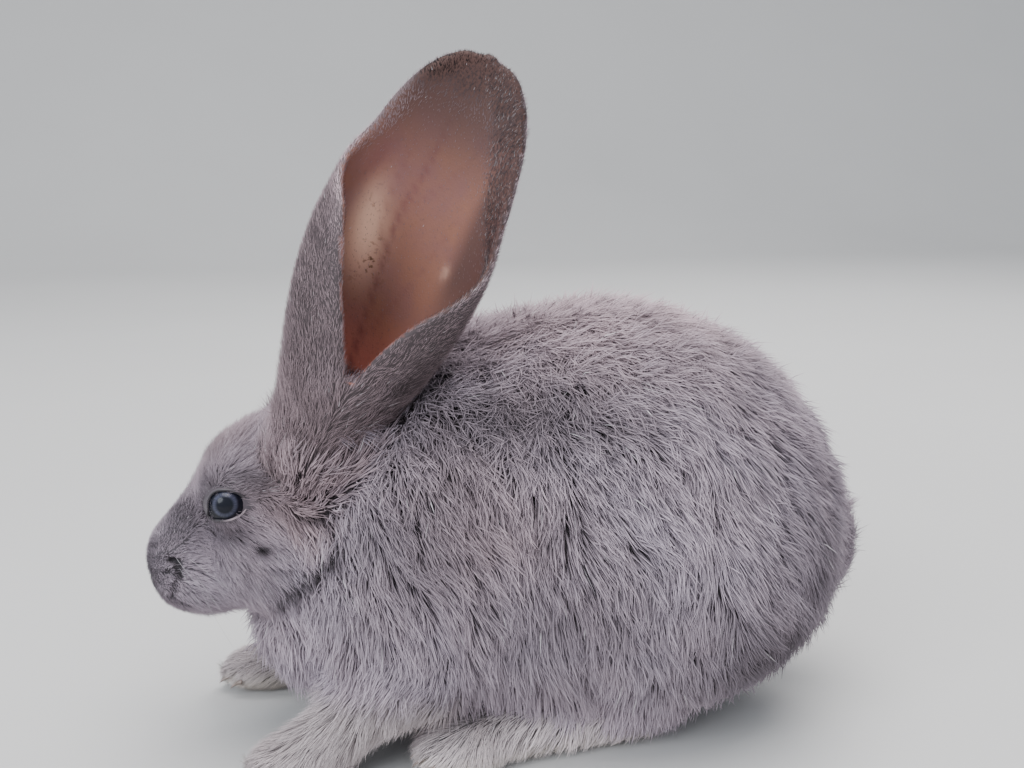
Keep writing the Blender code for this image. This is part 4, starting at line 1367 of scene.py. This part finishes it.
def spikes(chosen, bent):
    """Points (tuft, point, xyz) and normals of three-sided spikes along the spines, and the way along."""
    ring = 1 if bent else 0
    here, tip = spine[ring][chosen], spine[2][chosen]
    way = unit(tip - spine[0][chosen])
    across = unit(np.cross(root_normal[chosen], way))
    above = np.cross(way, across)
    half = (width[chosen] * 0.5)[:, None]
    outwards = [side * across + lift * above for side, lift in ((-1, -0.35), (1, -0.35), (0, 0.6))]
    points = [here + half * out for out in outwards] + [tip]
    along = [0.5 * ring] * 3 + [1.0]
    if bent:
        points.append(spine[0][chosen])
        along.append(0.0)
        outwards.append(above)
    outwards.insert(3, above)
    normals = [unit((1 - SOFTNESS) * unit(out) + SOFTNESS * root_normal[chosen]) for out in outwards]
    return np.stack(points, 1), np.stack(normals, 1), np.array(along)


SOFTNESS = 0.62                          # share of the skin's normal in a tuft's shading
BENT_FACES = ((0, 1, 3), (1, 2, 3), (2, 0, 3), (1, 0, 4), (2, 1, 4), (0, 2, 4))
STRAIGHT_FACES = ((0, 2, 1), (0, 1, 3), (1, 2, 3), (2, 0, 3))
PATCH = 0.003                            # size of a tuft's place in the map
ACROSS = (0.0, 1.0, 0.5, 0.5, 0.5)


def coat_piece(name, chosen):
    """One mesh of all the chosen tufts, long and short."""
    points, normals, loops, counts, tufts, marks_and_shade_of, maps = [], [], [], [], [], [], []
    offset = 0
    for bent, faces in ((True, BENT_FACES), (False, STRAIGHT_FACES)):
        mine = chosen[(root_length[chosen] > LONG_COAT) == bent]
        if len(mine) == 0:
            continue
        made, facing, along = spikes(mine, bent)
        per_tuft = made.shape[1]
        pattern = np.array([corner for face in faces for corner in face])
        index = offset + per_tuft * np.arange(len(mine))[:, None] + pattern
        loops.append(index.ravel())
        counts.append(np.tile([len(face) for face in faces], len(mine)))
        points.append(made.reshape(-1, 3))
        normals.append(facing.reshape(-1, 3))
        offset += per_tuft * len(mine)
        tuft = np.empty((len(mine), per_tuft, 3), np.float32)
        tuft[:, :, 0] = 1 - (1 - along) * np.minimum(0.52 + 0.55 * crisp[mine, None], 1)
        tuft[:, :, 1], tuft[:, :, 2] = luck[mine, None], white[mine, None]
        tufts.append(tuft.reshape(-1, 3))
        marks_and_shade_of.append(np.repeat(root_marks_and_shade[mine], per_tuft, axis=0))
        sideways = np.array(ACROSS[:per_tuft])
        patch = np.stack((along * PATCH, sideways * PATCH), 1)[pattern]
        maps.append((root_map[mine, None] - PATCH / 2 + patch).reshape(-1, 2))
    points, loops, counts = np.concatenate(points), np.concatenate(loops), np.concatenate(counts)
    mesh = bpy.data.meshes.new(name)
    mesh.vertices.add(len(points))
    mesh.vertices.foreach_set("co", points.astype(np.float32).ravel())
    mesh.loops.add(len(loops))
    mesh.loops.foreach_set("vertex_index", loops.astype(np.int32))
    mesh.polygons.add(len(counts))
    starts = np.concatenate(([0], np.cumsum(counts)[:-1])).astype(np.int32)
    mesh.polygons.foreach_set("loop_start", starts)
    mesh.update(calc_edges=True)
    flat_map = np.concatenate(maps).astype(np.float32)
    mesh.uv_layers.new(name="OFBake").data.foreach_set("uv", flat_map.ravel())
    store(mesh, "tuft", *np.concatenate(tufts).T)
    store(mesh, "marks_and_shade", *np.concatenate(marks_and_shade_of).T)
    mesh.attributes.new("custom_normal", "FLOAT_VECTOR", "POINT")
    shading = np.concatenate(normals).astype(np.float32)
    mesh.attributes["custom_normal"].data.foreach_set("vector", shading.ravel())
    piece = add_piece(name, mesh, coat_material)
    triangles = int((counts - 2).sum())
    print(name, len(chosen), "tufts,", triangles, "triangles")
    return triangles


# %% [markdown]
# ### The coat in pieces
#
# One mesh of all the tufts would be too heavy to handle, so the coat is cut by region and by side.
# Each tuft has some luck of its own, shared in part with its lock, and a few are white.

# %% Chances and regions
luck = 0.5 + 0.40 * (small_luck - 0.5) + 0.25 * (large_luck - 0.5)
luck = luck + random.normal(0, 1, root_count) * (0.11 + 0.14 * crisp)
luck = np.clip(luck, 0, 1)
white = np.where(random.random(root_count) < 0.006, 0.8, 0.0)
white = np.where(root_edge_dark > 0.3, 0.40 * (random.random(root_count) < 0.13), white)
place = root - SHIFT
region = np.where(place[:, 0] > 0.048, 2, np.where(place[:, 0] > -0.012, 1, 0))
region = np.where(root_head_side < 0, 3, region)
region = np.where((place[:, 2] < 0.030) & (root_length < LONG_COAT), 4, region)
region = np.where(root_on_ear, 5, region)
REGION_NAMES = ("shoulder", "flank", "rump", "head", "feet", "ear")
total = 0
for number, region_name in enumerate(REGION_NAMES):
    for side_name, side in (("left", -1), ("right", 1)):
        chosen = np.flatnonzero((region == number) & (np.sign(place[:, 1] + 1e-9) == side))
        total += coat_piece(f"coat_{region_name}_{side_name}", chosen)
print(total, "triangles of coat")

# %% [markdown]
# ## The eyes
#
# A rabbit's eye is a large wet ball with a wide, dark pupil and a blue-grey iris. The ball is a
# surface of two angles round the gaze: way off the gaze and turn about it. It bulges a little in
# front, as a cornea does. The material paints pupil, iris and dark rim by the way off the gaze.

# %% Eyeballs
CORNEA = 0.0006
IRIS_EDGE = 0.64                         # radians off the gaze
PUPIL_EDGE = 0.37


def surface_grid(points, closed_across=True, closed_along=False):
    """Quads over a grid of points (rows, columns, xyz), joined up across and along where closed."""
    rows, columns = points.shape[:2]
    row, column = np.meshgrid(np.arange(rows if closed_along else rows - 1),
                              np.arange(columns if closed_across else columns - 1), indexing="ij")
    down, right = (row + 1) % rows, (column + 1) % columns
    quads = np.stack((row * columns + column, row * columns + right,
                      down * columns + right, down * columns + column), -1)
    return points.reshape(-1, 3), quads.reshape(-1, 4)


def mesh_of(name, points, faces):
    """A mesh from arrays, its doubles merged and its faces turned outwards."""
    mesh = bpy.data.meshes.new(name)
    mesh.from_pydata(points.tolist(), [], faces.tolist())
    edit = bmesh.new()
    edit.from_mesh(mesh)
    bmesh.ops.remove_doubles(edit, verts=edit.verts, dist=1e-6)
    bmesh.ops.recalc_face_normals(edit, faces=edit.faces)
    edit.to_mesh(mesh)
    edit.free()
    return mesh


def round_gaze(off, turn, radius, side):
    """Points at angles off the gaze and turned about it, at a radius from the eye's centre."""
    back, up, out = eye_axes()
    points = (np.cos(off)[..., None] * out
              + np.sin(off)[..., None] * (np.cos(turn)[..., None] * back + np.sin(turn)[..., None] * up))
    points = EYE_CENTRE + radius[..., None] * points
    return points * (1, side, 1) + SHIFT


nodes = Nodes("eye")
off_gaze, turned, _ = nodes.read("iris")
fibres = nodes.add("ShaderNodeTexNoise", inputs={
    "Vector": nodes.add("ShaderNodeCombineXYZ", inputs={
        "X": nodes.maths("MULTIPLY", turned, 14.0), "Y": nodes.maths("MULTIPLY", off_gaze, 3.0)}).outputs[0],
    "Scale": 1.0, "Detail": 3.0}).outputs["Fac"]
IRIS_DARK, IRIS_LIGHT = (0.030, 0.031, 0.048, 1), (0.058, 0.062, 0.096, 1)
iris = nodes.blend(nodes.ramp(fibres, (0.35, 0), (0.65, 1)), IRIS_DARK, IRIS_LIGHT)
ring = nodes.ramp(off_gaze, (0.0, 0), (PUPIL_EDGE - 0.05, 0), (PUPIL_EDGE + 0.07, 0.9),
                  (IRIS_EDGE - 0.14, 1), (IRIS_EDGE, 0))
colour = nodes.blend(ring, (0.003, 0.004, 0.009, 1), iris)
eye_material = nodes.finish(colour, Roughness=0.50, Specular_IOR_Level=0.05, Coat_Weight=0.8,
                            Coat_Roughness=0.15, Coat_IOR=1.34)

off, turn_grid = np.meshgrid(np.linspace(0, np.pi, 49), np.linspace(0, 2 * np.pi, 96, endpoint=False),
                             indexing="ij")
bulge = EYE_RADIUS + CORNEA * np.exp(-(off / 0.55) ** 4)
for side_name, side in (("left", -1), ("right", 1)):
    points, faces = surface_grid(round_gaze(off, turn_grid, bulge, side))
    mesh = mesh_of("eyeball_" + side_name, points, faces)
    local = (mesh_array(mesh.vertices, "co", 3) - SHIFT) * (1, side, 1) - EYE_CENTRE
    off_angle, turn_angle = eye_angles(local)
    store(mesh, "iris", off_angle, np.abs(turn_angle - np.pi))
    add_piece("eyeball_" + side_name, mesh, eye_material, ["eye_" + side_name])
print("eyeball", round(2000 * EYE_RADIUS, 1), "mm across")

# %% [markdown]
# ## The lids
#
# Each eye is held by a bare rim: a band of skin that hugs the ball round the opening, turns over in
# a soft roll and runs back under the hair. It is a closed ring, whose outline is an oval with a
# drawn-out front corner, and whose section is the roll. A crease follows the upper lid, darkened by
# painted shade.

# %% Lids
LID_SECTION = ((0.06, -0.0010), (0.015, -0.0001), (0.0, 0.00028), (0.012, 0.00055), (0.045, 0.00074),
               (0.09, 0.00070), (0.14, 0.00052), (0.19, 0.00050), (0.25, 0.00030), (0.33, -0.00030),
               (0.42, -0.0012), (0.38, -0.0022), (0.20, -0.0022))      # radians past the rim, metres out
FRONT_LID_RUN = 0.46                     # radians by which the lid's front reaches further
nodes = Nodes("lid")
rim, pale, upper = nodes.read("lid")
velvet = nodes.blend(nodes.noise(1800.0, 4.0), (0.055, 0.046, 0.054, 1), TAUPE)
# Painted shade in the crease of the upper lid.
velvet = nodes.blend(upper, velvet, DARK_RIM_AND_SHADE)
edge = nodes.blend(pale, DARK_RIM_AND_SHADE, RIM_PALE)
colour = nodes.blend(rim, velvet, edge)
nodes.bump(nodes.noise(2500.0, 2.0), 0.00006, 0.6)
lid_material = nodes.finish(colour, Roughness=0.42, Specular_IOR_Level=0.4)

section = np.array(LID_SECTION)
steps = np.linspace(0, 1, len(section) + 1)
closed_section = np.concatenate((section, section[:1]))
fine = np.linspace(0, 1, 40, endpoint=False)
section_off = np.interp(fine, steps, closed_section[:, 0])
section_out = np.interp(fine, steps, closed_section[:, 1])
for _ in range(2):
    section_off = (np.roll(section_off, 1) + 2 * section_off + np.roll(section_off, -1)) / 4
    section_out = (np.roll(section_out, 1) + 2 * section_out + np.roll(section_out, -1)) / 4
turn_ring = np.linspace(0, 2 * np.pi, 128, endpoint=False)
front_lid = np.clip(-np.cos(turn_ring), 0, 1)[:, None] ** 1.5        # runs on round the ball in front
lid_off = lid_rim(turn_ring)[:, None] + section_off
lid_off = lid_off + FRONT_LID_RUN * front_lid * smooth_step(0.08, 0.26, section_off)
lid_turn = np.broadcast_to(turn_ring[:, None], lid_off.shape)
upper_lid = np.clip(np.sin(turn_ring), 0, 1)[:, None]
crease = 0.00030 * np.exp(-((section_off - 0.20) / 0.03) ** 2) * upper_lid
lid_radius = EYE_RADIUS + section_out * (1 + 0.5 * upper_lid * (section_out > 0)) - crease
for side_name, side in (("left", -1), ("right", 1)):
    points, faces = surface_grid(round_gaze(lid_off, lid_turn, lid_radius, side), closed_along=True)
    mesh = mesh_of("lids_" + side_name, points, faces)
    local = (mesh_array(mesh.vertices, "co", 3) - SHIFT) * (1, side, 1) - EYE_CENTRE
    off_angle, turn_angle = eye_angles(local)
    past = (off_angle - lid_rim(turn_angle)) * EYE_RADIUS
    lower_rear = 0.5 + 0.5 * np.cos(turn_angle - math.radians(318))
    upper = 0.5 + 0.5 * np.cos(turn_angle - math.radians(80))
    # The upper lid's crease, darkened by painted shade in the material.
    fold = np.exp(-((past - 0.0016) / 0.0003) ** 2) * upper ** 2
    store(mesh, "lid", smooth_step(0.00055, 0.00030, past), smooth_step(0.66, 0.98, lower_rear), fold)
    add_piece("lids_" + side_name, mesh, lid_material)
print("lids of", len(turn_ring), "by", len(fine), "faces")

# %% [markdown]
# ## Claws and whiskers
#
# Both are thin tapered tubes carried along a curve. A claw is short, stout and bent down; most of
# it hides in the fur. A whisker is a long fine bristle that springs from the pad and bends back.

# %% Tubes along curves


def tapered_tube(path, radii, sides=6):
    """Rings of points round a path: each ring stands square to it, with a radius of its own."""
    way = unit(np.gradient(path, axis=0))
    guide = np.array((0.05, 0.1, 1.0)) if abs(way[0][2]) < 0.9 else np.array((1.0, 0.1, 0.05))
    across = unit(np.cross(way, guide))
    above = np.cross(way, across)
    turn = np.linspace(0, 2 * np.pi, sides, endpoint=False)[None, :, None]
    return (path[:, None] + np.array(radii)[:, None, None]
            * (np.cos(turn) * across[:, None] + np.sin(turn) * above[:, None]))


def joined_tubes(name, tubes):
    """One mesh of many closed tubes, each capped by its last and first rings' middle points."""
    points, faces, start = [], [], 0
    for tube in tubes:
        ends = np.stack((tube[:1].mean(1), tube[-1:].mean(1)))
        capped = np.concatenate((np.repeat(ends[0][:, None], tube.shape[1], 1), tube,
                                 np.repeat(ends[1][:, None], tube.shape[1], 1)))
        flat, quads = surface_grid(capped)
        points.append(flat)
        faces.append(quads + start)
        start += len(flat)
    return mesh_of(name, np.concatenate(points), np.concatenate(faces))


nodes = Nodes("horn")
streaks = nodes.ramp(nodes.noise(700.0), (0.3, 0), (0.7, 1))
colour = nodes.blend(streaks, (0.16, 0.12, 0.10, 1), (0.30, 0.24, 0.21, 1))
horn_material = nodes.finish(colour, Roughness=0.35)
nodes = Nodes("whisker")
colour = nodes.blend(nodes.noise(200.0), (0.36, 0.34, 0.36, 1), (0.56, 0.54, 0.55, 1))
whisker_material = nodes.finish(colour, Roughness=0.35)

CLAW_LENGTH = 0.0050
CLAW_PLACES = (-0.0093, -0.0031, 0.0031, 0.0093)
PAWS = {"forepaw_left": (TRUNK["left forepaw"][0], -1), "forepaw_right": (TRUNK["right forepaw"][0], 1),
        "hind_foot_left": (toes, -1), "hind_foot_right": (toes, 1)}
for paw_name, (paw, side) in PAWS.items():
    tubes = []
    for place_across in CLAW_PLACES:
        reach = math.sqrt(1 - (place_across / (paw.radii[1] + 0.002)) ** 2)
        start = np.array((paw.centre[0] - paw.radii[0] * reach + 0.0042,
                          side * (abs(paw.centre[1]) + place_across), 0.0066)) + SHIFT
        part = np.linspace(0, 1, 8)
        path = start + CLAW_LENGTH * np.stack((-part, 0.06 * side * part, 0.10 * part - 0.62 * part ** 2), 1)
        tubes.append(tapered_tube(path, 0.00095 * (1 - part ** 1.6) + 0.00008))
    add_piece("claws_" + paw_name, joined_tubes("claws_" + paw_name, tubes), horn_material)

whisker_random = np.random.default_rng(5)
for side_name, side in (("left", -1), ("right", 1)):
    tubes = []
    for row in range(3):
        for column in range(2):
            start = pad_place(row, column, 0.0105 + 0.0012 * column)
            reach = whisker_random.uniform(0.020, 0.040) * (0.7 + 0.12 * column)
            way = np.array((0.35 + 0.10 * column, 0.85, -0.10 - 0.35 * row + whisker_random.normal(0, 0.1)))
            way /= np.linalg.norm(way)
            part = np.linspace(0, 1, 14)[:, None]
            path = start + reach * (part * way + part ** 2 * np.array((0.18, -0.10, -0.22)))
            path = path * (1, side, 1) + SHIFT
            tubes.append(tapered_tube(path, 0.00006 * (1 - 0.8 * part[:, 0]), 5))
    whiskers = joined_tubes("whiskers_" + side_name, tubes)
    add_piece("whiskers_" + side_name, whiskers, whisker_material)

# %% [markdown]
# ## Stage, lights and camera
#
# The rabbit stands on a plain pale floor in soft light from above, as on an overcast day. The
# camera looks at its left side from a little above and slightly from the front.

# %% Stage
FLOOR_NEAR, FLOOR_BACK, FLOOR_HALF = -3.0, 1.6, 5.0
WALL_BEND, WALL_TOP = 0.8, 3.0
bend = np.linspace(0, np.pi / 2, 24)
curved = np.stack((FLOOR_BACK + WALL_BEND * np.sin(bend), WALL_BEND * (1 - np.cos(bend))), 1)
profile = np.concatenate((((FLOOR_NEAR, 0),), curved, ((FLOOR_BACK + WALL_BEND, WALL_TOP),)))
ends = [np.column_stack((np.full(len(profile), x), profile)) for x in (-FLOOR_HALF, FLOOR_HALF)]
points, faces = surface_grid(np.stack(ends, 1), closed_across=False)
floor_mesh = bpy.data.meshes.new("floor")
floor_mesh.from_pydata(points.tolist(), [], faces.tolist())
floor_mesh.shade_smooth()
floor = bpy.data.objects.new("floor", floor_mesh)
bpy.context.scene.collection.objects.link(floor)
nodes = Nodes("floor")
colour = nodes.blend(nodes.noise(4.0), (0.50, 0.49, 0.48, 1), (0.54, 0.53, 0.52, 1))
floor_mesh.materials.append(nodes.finish(colour, Roughness=0.8))

world = bpy.data.worlds.new("studio")
bpy.context.scene.world = world
world.use_nodes = True
world.node_tree.nodes["Background"].inputs["Color"].default_value = (0.86, 0.92, 1.0, 1)
world.node_tree.nodes["Background"].inputs["Strength"].default_value = 0.95


def looking(way):
    """Euler angles of a lamp or camera that looks along a way, upright."""
    flat = math.hypot(way[0], way[1])
    return (math.atan2(flat, -way[2]), 0.0, math.atan2(-way[0], way[1]))


def area_light(name, place, target, size, power, tint=(1, 1, 1)):
    """A round soft light at a place, turned to a target."""
    light = bpy.data.lights.new(name, "AREA")
    light.shape = "DISK"
    light.size, light.energy, light.color = size, power, tint
    lamp = bpy.data.objects.new(name, light)
    bpy.context.scene.collection.objects.link(lamp)
    way = np.array(target, float) - np.array(place, float)
    lamp.location = place
    lamp.rotation_euler = looking(way)


LIT_PLACE = (0, 0, 0.10)
area_light("key", (-1.10, -1.10, 1.05), LIT_PLACE, 1.1, 24, (0.90, 0.95, 1.0))
area_light("sky", (0.10, -0.15, 1.80), LIT_PLACE, 1.7, 42, (1.0, 0.98, 0.97))
area_light("back", (0.70, 1.00, 1.10), LIT_PLACE, 0.8, 10)

# %% [markdown]
# ## The camera
#
# It looks at the rabbit's left side from a little in front and a little above, on a lens that shows
# the whole animal and some floor.

# %% Camera
CAMERA_TURN, CAMERA_RISE = math.radians(-12), math.radians(12)
CAMERA_AWAY, CAMERA_LENS = 0.46, 42.19
CAMERA_TARGET = SHIFT + (0, 0, 0.133)
camera_data = bpy.data.cameras.new("camera")
camera_data.sensor_width = 36
camera_data.lens = CAMERA_LENS
camera_data.clip_start = 0.01
camera = bpy.data.objects.new("camera", camera_data)
bpy.context.scene.collection.objects.link(camera)
camera.location = CAMERA_TARGET + CAMERA_AWAY * np.array((
    math.sin(CAMERA_TURN) * math.cos(CAMERA_RISE), -math.cos(CAMERA_TURN) * math.cos(CAMERA_RISE),
    math.sin(CAMERA_RISE)))
camera.rotation_euler = looking(CAMERA_TARGET - np.array(camera.location))
bpy.context.scene.camera = camera
